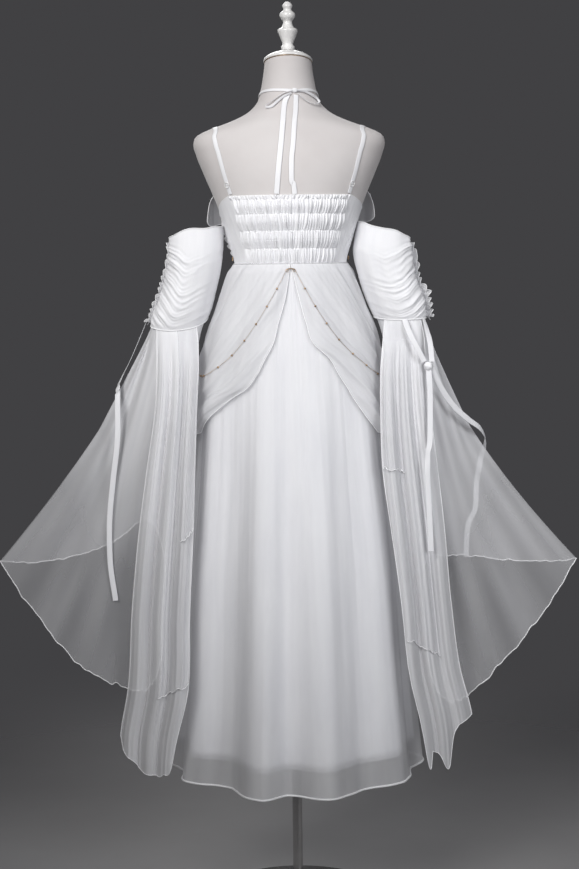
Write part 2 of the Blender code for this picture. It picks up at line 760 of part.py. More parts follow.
def overskirt_point(side, angle, height, out=0.0):
    """A point on the overskirt by its angle from the centre back, or `out` off it."""
    edge = read(OVERSKIRT_EDGE, height, side_name(side))
    across = min(max((angle - edge) / (OVERSKIRT_SIDE - edge), 0.0), 1.0)
    down = (SKIRT_TOP - height) / (SKIRT_TOP - OVERSKIRT_FOOT["height"][0])
    fold = (1 - cos(2 * pi * OVERSKIRT_FOLDS * across)) / 2
    spread = OVERSKIRT_SPREAD * down + OVERSKIRT_FOLD * fold * min(down, 1.0) ** 0.6
    return skirt_point(side * angle, height, OVERSKIRT_OUT + spread + out)


def make_overskirt():
    for side in (1, -1):
        rows = []
        for down in OVERSKIRT_ROWS:
            row = []
            for i in range(OVERSKIRT_COLUMNS + 1):
                across = i / OVERSKIRT_COLUMNS
                height = mix(SKIRT_TOP, read(OVERSKIRT_FOOT, across, "height"), down)
                edge = read(OVERSKIRT_EDGE, height, side_name(side))
                row.append(overskirt_point(side, mix(edge, OVERSKIRT_SIDE, across), height))
            rows.append(row)
        cloth(f"overskirt_{side_name(side)}", rows, "white_chiffon")


# The sleeves.
def puff_point(side, turn, down, out=0.0):
    """A point on the puff: turn 0 is outward and 90 is behind, down 0 is the top and 1 the hem."""
    rows = PUFF[side]
    ring = down * 5
    inner_x, inner_z, outer_x, outer_z, depth = (
        read(rows, ring, column) for column in ("inner_x", "inner_z", "outer_x", "outer_z", "depth")
    )
    outward = cos(radians(turn))
    behind = sin(radians(turn))
    seam = ((1 + outward) / 2) ** 0.8
    swell = out + RUCHE_DEPTH * seam * (1 - cos(2 * pi * RUCHES * down)) / 2
    x = (inner_x + outer_x) / 2 + ((outer_x - inner_x) / 2 + swell) * outward
    y = (depth + swell) * behind
    z = mix(inner_z, outer_z, (1 + outward) / 2) - PUFF_DIP[side] * down**3 * max(behind, 0.0)
    return Vector((side * x, y, z))


def puff_facet_point(side, turn, down, out):
    """A point off the puff's own flat facets, so that what hangs inside lies parallel to them."""
    step = 360.0 / PUFF_SIDES
    first = step * int(turn // step)
    start = puff_point(side, first, down, out)
    return start.lerp(puff_point(side, first + step, down, out), (turn - first) / step)


def wing_point(side, turn, down):
    """A point on the bell wing, from the puff's hem, 0, to its own hem, 1."""
    name = side_name(side)
    top = puff_point(side, turn, 1.0, WING_IN)
    bend = mix(WING_INNER_BEND, WING_OUTER_BEND[side], (1 + cos(radians(turn))) / 2)
    x = mix(top.x, side * read(WING_HEM, turn, name + "_x"), down**bend)
    y = mix(top.y, read(WING_HEM, turn, "depth"), down**0.7)
    return Vector((x, y, mix(top.z, read(WING_HEM, turn, name + "_z"), down)))


def fall_point(side, across, down):
    """A point on the folded cascade, across from its outer edge, 0, to its inner edge, 1."""
    rows = FALL[side]
    height = mix(FALL_START, read(FALL_HEM[side], across, "height"), down)
    fold = read(rows, height, "fold")
    turn = 2 * pi * FALL_FOLDS * across
    x = mix(read(rows, height, "outer_x"), read(rows, height, "inner_x"), across)
    x += 0.3 * fold * sin(turn)
    arch = read(rows, height, "arch") * 4 * across * (1 - across)
    y = mix(read(rows, height, "outer_y"), read(rows, height, "inner_y"), across)
    return Vector((side * x, y + arch - fold * cos(turn), height))


def make_sleeves():
    turns = [360.0 * i / PUFF_SIDES for i in range(PUFF_SIDES)]
    last_crest = 1.0 - 1.0 / (2 * RUCHES)
    for side in (1, -1):
        name = side_name(side)
        rows = [[puff_point(side, t, i / (2 * RUCHES)) for t in turns] for i in range(2 * RUCHES + 1)]
        cloth(f"sleeve_puff_{name}", rows, "white_chiffon", closed=True)
        rows = [[puff_point(side, t, last_crest, WING_IN) for t in turns]]
        rows += [[wing_point(side, t, down) for t in turns] for down in WING_ROWS]
        cloth(f"sleeve_wing_{name}", rows, "white_chiffon", closed=True, thickness=FINE_CLOTH)
        shares = [i / FALL_COLUMNS for i in range(FALL_COLUMNS + 1)]
        fall_turns = [mix(*FALL_TURNS, s) for s in shares]
        hem = [puff_facet_point(side, turn, 1.0, FALL_IN) for turn in fall_turns]
        crest = [puff_facet_point(side, turn, last_crest, FALL_IN) for turn in fall_turns]
        rows = [[low.lerp(high, FALL_TUCK) for low, high in zip(hem, crest)], hem]
        rows += [[fall_point(side, s, down) for s in shares] for down in FALL_ROWS]
        cloth(f"sleeve_fall_{name}", rows, "white_chiffon", thickness=FINE_CLOTH)


def free_ribbon(name, route, width=TIE_WIDTH):
    """A hanging ribbon: each row is a place and the angle that its face looks along."""
    centres = [Vector(row[:3]) for row in route]
    facings = [Vector((sin(radians(row[3])), cos(radians(row[3])), 0.0)) for row in route]
    ribbon(name, centres, facings, width)


def make_ties():
    free_ribbon("tie_left", TIE_LEFT)
    free_ribbon("tie_right_inner", TIE_RIGHT_INNER)
    free_ribbon("tie_right_outer", TIE_RIGHT_OUTER)
    free_ribbon("tie_right_tail_long", TIE_TAIL_LONG)
    free_ribbon("tie_right_tail_back", TIE_TAIL_BACK)
    bead("tie_right_knot", TIE_KNOT, TIE_KNOT_SIZE, "white_ribbon")


# Straps and halter ribbons.
def closer(route):
    """The same route with points between its own, so that it keeps to the form."""
    rows = [route[0]]
    for start, end in zip(route, route[1:]):
        for step in range(1, ROUTE_STEPS + 1):
            rows.append(tuple(mix(a, b, step / ROUTE_STEPS) for a, b in zip(start, end)))
    return rows


def form_ribbon(name, route, width, out=RIBBON_OUT):
    """A ribbon that lies on the form along (angle, height) rows."""
    route = closer(route)
    centres = [form_point(angle, height, out) for angle, height in route]
    ribbon(name, centres, [form_facing(angle, height) for angle, height in route], width)


def back_ribbon(name, route, width, out, tilt=0.0):
    """A ribbon down the back along (x, height) rows, turned on its long axis by the tilt."""
    route = closer(route)
    centres = [form_at(x, height, out) for x, height in route]
    facings = []
    for i, (x, height) in enumerate(route):
        angle = degrees(asin(x / read(FORM, height, "half")))
        facing = form_facing(angle, height)
        along = centres[min(i + 1, len(centres) - 1)] - centres[max(i - 1, 0)]
        side = along.cross(facing).normalized()
        facings.append(facing * cos(radians(tilt)) + side * sin(radians(tilt)))
    ribbon(name, centres, facings, width)


def make_straps():
    for side in (1, -1):
        name = side_name(side)
        route = [(side * angle, height) for angle, height in STRAP_ROUTE]
        form_ribbon(f"strap_{name}", route, STRAP_WIDTH)
        bpy.ops.mesh.primitive_torus_add(
            major_segments=14, minor_segments=6, major_radius=SLIDER_RADIUS, minor_radius=SLIDER_WIRE
        )
        slider = bpy.context.object
        slider.name = f"strap_slider_{name}"
        for holder in slider.users_collection:
            holder.objects.unlink(slider)
        COLLECTION.objects.link(slider)
        slider.data.materials.append(material("white_lacquer"))
        angle = side * 48.8
        slider_out = RIBBON_OUT + FINE_CLOTH / 2 + SEAM + SLIDER_WIRE
        slider.location = form_point(angle, SLIDER_HEIGHT, slider_out)
        slider.rotation_euler = form_facing(angle, SLIDER_HEIGHT).to_track_quat("Z", "Y").to_euler()


def make_halter():
    knot_x, knot_z = KNOT
    knot = form_at(knot_x, knot_z, KNOT_OUT)
    bead("halter_knot", knot, KNOT_SIZE, "white_ribbon")
    half = read(FORM, knot_z, "half") + RIBBON_OUT
    for side in (1, -1):
        end_x = knot_x + side * (KNOT_SIZE[0] + SEAM)
        route = [(side * angle, height) for angle, height in BAND_ROUTE[: 11 if side > 0 else 10]]
        route.append((degrees(asin(end_x / half)), knot_z))
        form_ribbon(f"halter_band_{side_name(side)}", route, BAND_WIDTH)
    back_ribbon("halter_tail_left", TAIL_LEFT, TAIL_WIDTH, TAIL_OUT)
    back_ribbon("halter_tail_right", TAIL_RIGHT, TAIL_WIDTH * 0.92, TAIL_OUT)
    back_ribbon("halter_loop_left", LOOP_LEFT, LOOP_WIDTH, LOOP_OUT, tilt=50.0)
    back_ribbon("halter_loop_right", LOOP_RIGHT, LOOP_WIDTH, LOOP_OUT, tilt=50.0)


# Gilt trim.
def chain_place(side, angle):
    height = read(CHAIN, angle, "height")
    return overskirt_point(side, angle, height, CHAIN_OUT)


def make_trim():
    for side in (1, -1):
        name = side_name(side)
        curve = bpy.data.curves.new(f"chain_{name}", "CURVE")
        curve.dimensions = "3D"
        curve.bevel_depth = CHAIN_RADIUS
        curve.bevel_resolution = 0
        curve.use_fill_caps = True
        spline = curve.splines.new("POLY")
        spline.points.add(CHAIN_POINTS - 1)
        for i, point in enumerate(spline.points):
            angle = mix(CHAIN["angle"][0], CHAIN["angle"][-1], i / (CHAIN_POINTS - 1))
            point.co = (*chain_place(side, angle), 1.0)
        add(f"chain_{name}", curve, "pale_gold")
        bodice_side = read(FORM, ORNAMENT_HEIGHT, "half") + BODICE_OUT + CLOTH / 2
        seat = bodice_side + 2 * SEAM + ORNAMENT_SIZE[0]
        place = Vector((side * seat, 0.0, ORNAMENT_HEIGHT))
        bead(f"waist_ornament_{name}", place, ORNAMENT_SIZE, "pale_gold")
    body = bmesh.new()
    bmesh.ops.create_cube(body, size=1.0)
    bmesh.ops.scale(body, vec=Vector(CLASP_SIZE), verts=body.verts)
    clasp = from_bmesh("chain_clasp", body, "pale_gold")
    clasp.location = overskirt_point(1, 0.8, CLASP_HEIGHT, 0.0032)
    clasp.location.x = 0.0
    clasp.data.shade_flat()


for leftover in list(bpy.data.objects):
    bpy.data.objects.remove(leftover, do_unlink=True)
COLLECTION = bpy.data.collections.new("halter_dress")
bpy.context.scene.collection.children.link(COLLECTION)
make_form()
make_stand()
make_bodice()
make_drapes()
make_skirts()
make_overskirt()
make_sleeves()
make_ties()
make_straps()
make_halter()
make_trim()
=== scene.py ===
"""The looks of a halter dress with detached bell sleeves, worn by its dress form.

Metres, +Z up, in the CAD's own frame. The dress's front faces -Y, its back +Y, and the wearer's
left is +X. Angles are in degrees round the body: 0 is the centre back and 90 the wearer's left.
The surfaces are the CAD's own, read from the same sizes at a finer step, with the smaller folds,
gathers, rolled hems and frills added. Every array of angles or heights gives an array of points.
"""

from math import cos, pi, radians, sin

import bmesh
import bpy
import numpy as np
from mathutils import Matrix, Vector


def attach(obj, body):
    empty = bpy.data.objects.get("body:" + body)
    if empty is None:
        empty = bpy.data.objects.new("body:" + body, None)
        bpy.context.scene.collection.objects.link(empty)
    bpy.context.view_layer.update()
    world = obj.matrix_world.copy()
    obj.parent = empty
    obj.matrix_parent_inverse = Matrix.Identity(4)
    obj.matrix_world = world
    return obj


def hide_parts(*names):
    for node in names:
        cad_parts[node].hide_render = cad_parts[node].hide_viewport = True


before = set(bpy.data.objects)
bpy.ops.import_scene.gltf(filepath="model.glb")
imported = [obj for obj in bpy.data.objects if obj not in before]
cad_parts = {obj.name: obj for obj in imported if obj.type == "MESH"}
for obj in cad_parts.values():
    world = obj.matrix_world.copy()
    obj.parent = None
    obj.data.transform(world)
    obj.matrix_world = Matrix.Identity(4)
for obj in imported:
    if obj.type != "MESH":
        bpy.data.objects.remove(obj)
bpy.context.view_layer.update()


def table(columns, *rows):
    """Rows of sizes, as one array for each named column. The first column runs upwards."""
    return dict(zip(columns.split(), np.array(rows, float).T))


# The form.
FORM = table(
    "height half back front lean",
    (0.985, 0.146, 0.108, 0.098, 0.000),
    (1.020, 0.156, 0.117, 0.106, 0.000),
    (1.100, 0.157, 0.120, 0.106, 0.000),
    (1.168, 0.146, 0.112, 0.103, 0.000),
    (1.250, 0.1215, 0.095, 0.091, 0.000),
    (1.300, 0.1095, 0.086, 0.087, 0.000),
    (1.350, 0.121, 0.095, 0.106, 0.000),
    (1.395, 0.136, 0.104, 0.119, 0.000),
    (1.440, 0.1535, 0.107, 0.116, 0.000),
    (1.4815, 0.171, 0.106, 0.103, 0.000),
    (1.515, 0.184, 0.100, 0.092, 0.000),
    (1.541, 0.189, 0.093, 0.083, 0.000),
    (1.552, 0.184, 0.090, 0.079, 0.000),
    (1.5665, 0.155, 0.087, 0.076, 0.000),
    (1.575, 0.130, 0.085, 0.073, 0.000),
    (1.5914, 0.0915, 0.077, 0.068, -0.003),
    (1.6143, 0.0645, 0.067, 0.061, -0.007),
    (1.640, 0.0555, 0.058, 0.053, -0.010),
    (1.668, 0.050, 0.052, 0.049, -0.011),
    (1.696, 0.0463, 0.047, 0.047, -0.011),
)
FORM_END_RINGS = (0.001, 0.6, 0.95)
FORM_ROWS = 120
FORM_SIDES = 96
NECK_TILT = 0.21
NECK_TILT_FROM = 1.62
NECK_TOP = 1.696
NECK_Y = -0.011
CAP = table(
    "share rise radius level",
    (0.00, 0.0004, 0.0470, 0.0),
    (0.08, 0.0012, 0.0482, 0.0),
    (0.22, 0.0048, 0.0480, 0.0),
    (0.32, 0.0075, 0.0458, 0.05),
    (0.48, 0.0125, 0.0395, 0.25),
    (0.72, 0.0190, 0.0270, 0.6),
    (1.00, 0.0245, 0.0126, 1.0),
)
FINIAL_FOOT = 1.7210
FINIAL = table(
    "share rise radius",
    (0.000, 0.0000, 0.0120),
    (0.030, 0.0012, 0.0127),
    (0.100, 0.0072, 0.0128),
    (0.130, 0.0086, 0.0110),
    (0.170, 0.0112, 0.0106),
    (0.290, 0.0270, 0.0166),
    (0.370, 0.0345, 0.0194),
    (0.410, 0.0375, 0.0198),
    (0.440, 0.0392, 0.0188),
    (0.480, 0.0430, 0.0130),
    (0.560, 0.0520, 0.0091),
    (0.610, 0.0560, 0.0096),
    (0.660, 0.0620, 0.0145),
    (0.710, 0.0672, 0.0155),
    (0.750, 0.0705, 0.0146),
    (0.800, 0.0765, 0.0084),
    (0.840, 0.0800, 0.0084),
    (0.880, 0.0840, 0.0098),
    (0.940, 0.0892, 0.0078),
    (0.980, 0.0925, 0.0040),
    (1.000, 0.0934, 0.0004),
)
CORD_OUT = 0.0006
CORD_RADIUS = 0.0009
POLE_RADIUS = 0.0100
POLE_FOOT = 0.0503
POLE_GAP = 0.0003
BASE = table(
    "height radius",
    (0.0000, 0.179),
    (0.0010, 0.180),
    (0.0045, 0.180),
    (0.0070, 0.178),
    (0.0098, 0.100),
    (0.0118, 0.030),
    (0.0125, 0.023),
    (0.0150, 0.021),
    (0.0480, 0.021),
    (0.0500, 0.019),
)

# The bodice.
BODICE_OUT = 0.0014
WAIST = 1.3005
SKIRT_TOP = 1.2997
SHIRRED_TO = 50.0
SIDE_FROM = 50.3
SIDE_TO = 91.6
FRONT_FROM = 91.9
SHIRR = table(
    "height puff",
    (1.3005, 0.0004),
    (1.3145, 0.0022),
    (1.3300, 0.0002),
    (1.3470, 0.0026),
    (1.3645, 0.0002),
    (1.3810, 0.0026),
    (1.3970, 0.0002),
    (1.4125, 0.0024),
    (1.4250, 0.0002),
    (1.4325, 0.0006),
)
ELASTIC_ROWS = [0, 2, 4, 6, 8, 9]
SHIRR_OUTSIDE = 0.0020
SHIRR_CLEAR = 0.0011
SHIRR_COLUMNS = 330
SHIRR_SEED = 11
GATHERS = 43
GATHER_DEPTH = 0.0046
BODICE_TOP = table(
    "angle left right",
    (50.0, 1.4340, 1.4340),
    (70.0, 1.4180, 1.4200),
    (90.0, 1.3960, 1.4080),
    (105.0, 1.4020, 1.4120),
    (125.0, 1.4400, 1.4400),
    (150.0, 1.4560, 1.4560),
    (180.0, 1.4420, 1.4420),
)
SIDE_RUCHES = 7
SIDE_RUCHE_ANGLE = 108.0
SIDE_RUCHE_SPREAD = 12.0
SIDE_RUCHE = {1: 0.014, -1: 0.005}
DRAPE_TOP = table(
    "along left right",
    (0.0, 1.437, 1.437),
    (0.5, 1.444, 1.446),
    (1.0, 1.438, 1.446),
)
DRAPE_FOOT = table(
    "along left right",
    (0.0, 1.392, 1.392),
    (0.7, 1.383, 1.385),
    (1.0, 1.372, 1.381),
)
DRAPE_FROM = 179.85
DRAPE_TO = 99.0
DRAPE_OUT = 0.0034
DRAPE_FLARE = 0.036
DRAPE_FOLDS = 2
DRAPE_FOLD = 0.0035
DRAPE_TIP = 0.82
DRAPE_TIP_LEVEL = 0.78

# The skirts.
SKIRT = table(
    "height half back front fold",
    (0.285, 0.245, 0.250, 0.238, 1.00),
    (0.418, 0.232, 0.230, 0.218, 0.88),
    (0.543, 0.222, 0.212, 0.200, 0.76),
    (0.693, 0.213, 0.190, 0.178, 0.62),
    (0.890, 0.192, 0.160, 0.150, 0.40),
    (0.960, 0.186, 0.150, 0.140, 0.28),
    (1.077, 0.174, 0.132, 0.124, 0.15),
    (1.135, 0.163, 0.124, 0.1175, 0.10),
    (1.175, 0.152, 0.1165, 0.1125, 0.07),
    (1.216, 0.137, 0.108, 0.106, 0.05),
    (1.270, 0.122, 0.0965, 0.0965, 0.03),
    (1.300, 0.1128, 0.0893, 0.0903, 0.02),
)
FOLDS = table(
    "angle depth",
    (-76.0, -0.012),
    (-56.0, 0.010),
    (-34.0, -0.010),
    (-13.0, 0.020),
    (4.0, -0.016),
    (15.0, 0.024),
    (39.0, -0.030),
    (60.0, 0.008),
    (76.0, -0.014),
    (93.0, 0.014),
    (112.0, -0.010),
    (132.0, 0.016),
    (153.0, -0.014),
    (188.0, 0.014),
    (208.0, -0.014),
    (230.0, 0.016),
    (252.0, -0.010),
    (268.0, 0.012),
    (284.0, -0.012),
)
SIDE_SEAM = 76.0
SEAM_GAP = 0.12
SKIRT_COLUMNS = 1.6
WAIST_LAP = 0.0032
SKIRT_FOOT = 0.285
LINING_FOOT = 0.335
LINING_EXTRA = 0.0004
LINING_FINE = 0.35
LINING_IN = table(
    "height gap",
    (0.335, 0.0100),
    (0.600, 0.0075),
    (0.890, 0.0050),
    (1.077, 0.0030),
    (1.216, 0.0022),
    (1.300, 0.0016),
)
OVERSKIRT_EDGE = table(
    "height left right",
    (0.940, 78.0, 66.0),
    (0.972, 69.0, 57.0),
    (0.999, 59.0, 49.0),
    (1.020, 50.0, 44.0),
    (1.045, 38.0, 38.5),
    (1.056, 31.0, 36.5),
    (1.085, 22.4, 30.5),
    (1.118, 17.0, 24.5),
    (1.145, 12.6, 15.0),
    (1.189, 9.2, 10.4),
    (1.239, 4.4, 6.2),
    (1.300, 0.6, 0.6),
)
OVERSKIRT_SIDE = 128.0
OVERSKIRT_FOOT = table(
    "across height",
    (0.0, 0.970),
    (0.45, 0.952),
    (1.0, 0.990),
)
OVERSKIRT_FOLDS = 4
OVERSKIRT_OUT = 0.0018
OVERSKIRT_SPREAD = 0.0042
OVERSKIRT_FOLD = 0.0065
OVERSKIRT_FAN = 0.50
OVERSKIRT_LIFT = 0.0026
OVERSKIRT_FINE = 0.30

# The sleeves.
SLEEVE_COLUMNS = 340
PUFF_RINGS = 5
PUFF = {
    1: table(
        "ring inner_x inner_z outer_x outer_z depth",
        (0, 0.1323, 1.3760, 0.2470, 1.3505, 0.046),
        (1, 0.1345, 1.3253, 0.2485, 1.3168, 0.054),
        (2, 0.1395, 1.2877, 0.2555, 1.2812, 0.058),
        (3, 0.1500, 1.2441, 0.2650, 1.2456, 0.060),
        (4, 0.1585, 1.2124, 0.2790, 1.2150, 0.060),
        (5, 0.1660, 1.1960, 0.2880, 1.1890, 0.056),
    ),
    -1: table(
        "ring inner_x inner_z outer_x outer_z depth",
        (0, 0.1347, 1.3820, 0.2437, 1.3443, 0.046),
        (1, 0.1250, 1.3231, 0.2480, 1.3200, 0.054),
        (2, 0.1345, 1.2760, 0.2530, 1.2780, 0.058),
        (3, 0.1450, 1.2400, 0.2650, 1.2480, 0.060),
        (4, 0.1570, 1.2100, 0.2720, 1.2169, 0.060),
        (5, 0.1650, 1.1930, 0.2760, 1.1930, 0.056),
    ),
}
PUFF_DIP = {1: 0.020, -1: 0.005}
RUCHES = 10.5
CREASES = 24.0
RUCHE_DEPTH = 0.0026
CREASE_DEPTH = 0.0015
RUCHE_SAG = 0.27
RUCHE_LOW = 0.52
SEAM_IN = 0.0085
FRILLS = {1: 6.2, -1: 5.6}
FRILL_LAYERS = {"upper": 0.0, "under": 3.6}
FRILL_START = 0.001
FRILL_SWING = 0.0070
FRILL_BOB = 0.0034
FRILL_DROP = 0.0040
FRILL_WIDTH = {1: 0.0100, -1: 0.0165}
RIM_RISE = {1: 0.0095, -1: 0.0040}
RIM_RISE_AT = {1: 0.36, -1: 0.20}
WING_IN = -0.0032
FALL_IN = -0.0016
WING_HEM = table(
    "turn left_x left_z right_x right_z depth",
    (0, 0.595, 0.709, 0.571, 0.700, 0.000),
    (30, 0.530, 0.617, 0.507, 0.606, 0.030),
    (60, 0.440, 0.510, 0.425, 0.510, 0.044),
    (90, 0.355, 0.460, 0.345, 0.430, 0.046),
    (120, 0.300, 0.452, 0.300, 0.425, 0.042),
    (150, 0.274, 0.500, 0.274, 0.470, 0.024),
    (180, 0.264, 0.600, 0.264, 0.580, 0.000),
    (210, 0.266, 0.720, 0.266, 0.690, -0.024),
    (240, 0.300, 0.785, 0.300, 0.702, -0.042),
    (270, 0.362, 0.742, 0.370, 0.699, -0.050),
    (300, 0.440, 0.712, 0.452, 0.688, -0.050),
    (330, 0.525, 0.700, 0.535, 0.690, -0.032),
    (360, 0.595, 0.709, 0.571, 0.700, 0.000),
)
WING_INNER_BEND = 0.7
WING_FULL = 0.008
WING_OUTER_BEND = {1: 1.3, -1: 1.5}
FALL_TURNS = (49.0, 132.0)
FALL = {
    1: table(
        "height outer_x outer_y inner_x inner_y fold arch",
        (0.290, 0.352, 0.098, 0.238, 0.166, 0.009, 0.000),
        (0.370, 0.350, 0.098, 0.230, 0.166, 0.009, 0.000),
        (0.460, 0.334, 0.098, 0.212, 0.166, 0.012, 0.000),
        (0.625, 0.322, 0.095, 0.205, 0.152, 0.014, 0.000),
        (0.790, 0.304, 0.090, 0.196, 0.137, 0.013, 0.000),
        (0.900, 0.288, 0.086, 0.192, 0.118, 0.012, 0.000),
        (1.040, 0.268, 0.078, 0.186, 0.096, 0.009, 0.002),
        (1.100, 0.266, 0.066, 0.183, 0.078, 0.006, 0.006),
        (1.150, 0.266, 0.050, 0.184, 0.054, 0.002, 0.010),
    ),
    -1: table(
        "height outer_x outer_y inner_x inner_y fold arch",
        (0.290, 0.352, 0.098, 0.240, 0.166, 0.009, 0.000),
        (0.400, 0.350, 0.098, 0.226, 0.166, 0.009, 0.000),
        (0.500, 0.326, 0.098, 0.208, 0.164, 0.012, 0.000),
        (0.625, 0.310, 0.095, 0.200, 0.154, 0.014, 0.000),
        (0.790, 0.296, 0.090, 0.184, 0.142, 0.013, 0.000),
        (0.900, 0.284, 0.086, 0.174, 0.128, 0.012, 0.000),
        (1.040, 0.268, 0.078, 0.172, 0.104, 0.009, 0.002),
        (1.100, 0.264, 0.066, 0.174, 0.084, 0.006, 0.006),
        (1.150, 0.262, 0.050, 0.180, 0.056, 0.002, 0.010),
    ),
}
FALL_HEM = {
    1: table(
        "across height",
        (0.00, 0.371),
        (0.08, 0.345),
        (0.25, 0.322),
        (0.42, 0.306),
        (0.60, 0.302),
        (0.78, 0.306),
        (0.92, 0.345),
        (1.00, 0.480),
    ),
    -1: table(
        "across height",
        (0.00, 0.405),
        (0.25, 0.385),
        (0.38, 0.355),
        (0.46, 0.308),
        (0.58, 0.335),
        (0.72, 0.345),
        (0.84, 0.365),
        (0.92, 0.720),
        (1.00, 0.900),
    ),
}
FALL_START = 1.150
FALL_FOLDS = 3
FALL_SOFTNESS = 0.62
FALL_LAYERS = {
    1: ((0.52, 1.0, 0.455, 0.490), (0.80, 1.0, 0.765, 0.790)),
    -1: ((0.30, 0.86, 0.530, 0.570), (0.60, 1.0, 0.895, 0.905)),
}
FALL_LAYER_OUT = 0.0035
FALL_LAYER_TOP = 0.0006

# Ribbons: width, thickness and route. Those on the form are given by angle and height.
RIBBON_THICK = 0.0009
RIBBON_OUT = 0.0015
RIBBON_SIDES = 10
RIBBON_EDGE = 0.45
STRAP_WIDTH = 0.0095
STRAP_ROUTE = (
    (49.0, 1.4360), (48.6, 1.4750), (48.0, 1.5200), (49.5, 1.5420), (53.0, 1.5560), (60.0, 1.5630),
    (72.0, 1.5680), (90.0, 1.5695), (108.0, 1.5680), (119.0, 1.5610), (126.0, 1.5480), (130.0, 1.5200),
    (132.0, 1.4850), (133.0, 1.4530),
)
SLIDER_ANGLE = 48.8
SLIDER_HEIGHT = 1.4535
SLIDER_GAP = 0.0003
SLIDER_RADIUS = 0.0052
SLIDER_WIRE = 0.0008
BAND_WIDTH = 0.0055
BAND_ROUTE = (
    (158.0, 1.4600), (156.0, 1.4950), (152.0, 1.5300), (146.0, 1.5620), (136.0, 1.5880), (120.0, 1.6120),
    (100.0, 1.6270), (80.0, 1.6340), (60.0, 1.6370), (40.0, 1.6380), (20.0, 1.6375),
)
BAND_ROWS = {1: 11, -1: 10}
KNOT = (-0.0119, 1.6356)
KNOT_SIZE = (0.0052, 0.0024, 0.0045)
KNOT_OUT = 0.0033
TAIL_OUT = 0.0016
TAIL_WIDTH = 0.0105
TAIL_LEFT = (
    (0.0022, 1.6270), (0.0085, 1.6080), (0.0120, 1.5700), (0.0165, 1.5250), (0.0215, 1.4800),
    (0.0255, 1.4350),
)
TAIL_RIGHT = (
    (-0.0145, 1.6270), (-0.0140, 1.6080), (-0.0105, 1.5700), (-0.0075, 1.5300), (-0.0040, 1.4950),
    (-0.0035, 1.4680), (-0.0080, 1.4500), (-0.0095, 1.4340),
)
LOOP_WIDTH = 0.0046
LOOP_OUT = 0.0052
LOOP_LEFT = (
    (-0.0060, 1.6350), (0.0080, 1.6315), (0.0240, 1.6225), (0.0380, 1.6120), (0.0450, 1.6068),
    (0.0440, 1.6042), (0.0360, 1.6045), (0.0240, 1.6130), (0.0100, 1.6240), (-0.0055, 1.6305),
)
LOOP_RIGHT = (
    (-0.0180, 1.6355), (-0.0300, 1.6345), (-0.0440, 1.6290), (-0.0560, 1.6220), (-0.0600, 1.6160),
    (-0.0550, 1.6110), (-0.0440, 1.6110), (-0.0320, 1.6180), (-0.0185, 1.6300),
)
LOOP_TILT = 50.0
HALTER_ENDS = {
    "halter_tail_left": (TAIL_LEFT, TAIL_WIDTH, TAIL_OUT, 0.0),
    "halter_tail_right": (TAIL_RIGHT, TAIL_WIDTH * 0.92, TAIL_OUT, 0.0),
    "halter_loop_left": (LOOP_LEFT, LOOP_WIDTH, LOOP_OUT, LOOP_TILT),
    "halter_loop_right": (LOOP_RIGHT, LOOP_WIDTH, LOOP_OUT, LOOP_TILT),
}
TIE_WIDTH = 0.0108
TIE_LEFT = (
    (0.2893, 0.000, 1.1880, 90), (0.3030, 0.002, 1.1560, 90), (0.3200, 0.004, 1.1180, 88),
    (0.3395, 0.008, 1.0800, 75), (0.3470, 0.024, 1.0560, 30), (0.3465, 0.044, 1.0250, 8),
    (0.3475, 0.053, 0.9550, 0), (0.3582, 0.054, 0.8718, 0), (0.3666, 0.055, 0.7882, 0),
    (0.3668, 0.056, 0.7181, 0), (0.3575, 0.056, 0.6355, 0),
)
TIE_RIGHT_INNER = (
    (-0.2228, 0.0576, 1.1885, 0), (-0.2290, 0.0730, 1.1680, 0), (-0.2460, 0.0850, 1.1320, 0),
    (-0.2590, 0.0860, 1.1069, 0),
)
TIE_RIGHT_OUTER = (
    (-0.2614, 0.0401, 1.1892, -45), (-0.2665, 0.0560, 1.1680, -30), (-0.2720, 0.0740, 1.1380, -10),
    (-0.2738, 0.0845, 1.1069, 0),
)
TIE_KNOT = (-0.2665, 0.0850, 1.0985)
TIE_KNOT_SIZE = (0.0078, 0.0062, 0.0082)
TIE_TAIL_LONG = (
    (-0.2675, 0.0854, 1.0904, 0), (-0.2690, 0.0930, 1.0573, 0), (-0.2682, 0.1060, 0.9847, 0),
    (-0.2622, 0.1160, 0.9277, 30), (-0.2619, 0.1220, 0.8763, -20), (-0.2645, 0.1260, 0.8050, 0),
    (-0.2670, 0.1280, 0.7393, 0),
)
TIE_TAIL_BACK = (
    (-0.2736, 0.0823, 1.0936, 0), (-0.2920, 0.0720, 1.0560, 0), (-0.3180, 0.0580, 1.0180, -10),
    (-0.3500, 0.0400, 0.9880, -35), (-0.3750, 0.0200, 0.9680, -70), (-0.3870, -0.0040, 0.9480, -95),
    (-0.3880, -0.0280, 0.9240, -130), (-0.3820, -0.0500, 0.8950, -165), (-0.3750, -0.0590, 0.8431, -180),
    (-0.3730, -0.0600, 0.8000, -180), (-0.3578, -0.0610, 0.7600, -180), (-0.3535, -0.0610, 0.6958, -180),
)
TIES = {
    "tie_left": TIE_LEFT,
    "tie_right_inner": TIE_RIGHT_INNER,
    "tie_right_outer": TIE_RIGHT_OUTER,
    "tie_right_tail_long": TIE_TAIL_LONG,
    "tie_right_tail_back": TIE_TAIL_BACK,
}

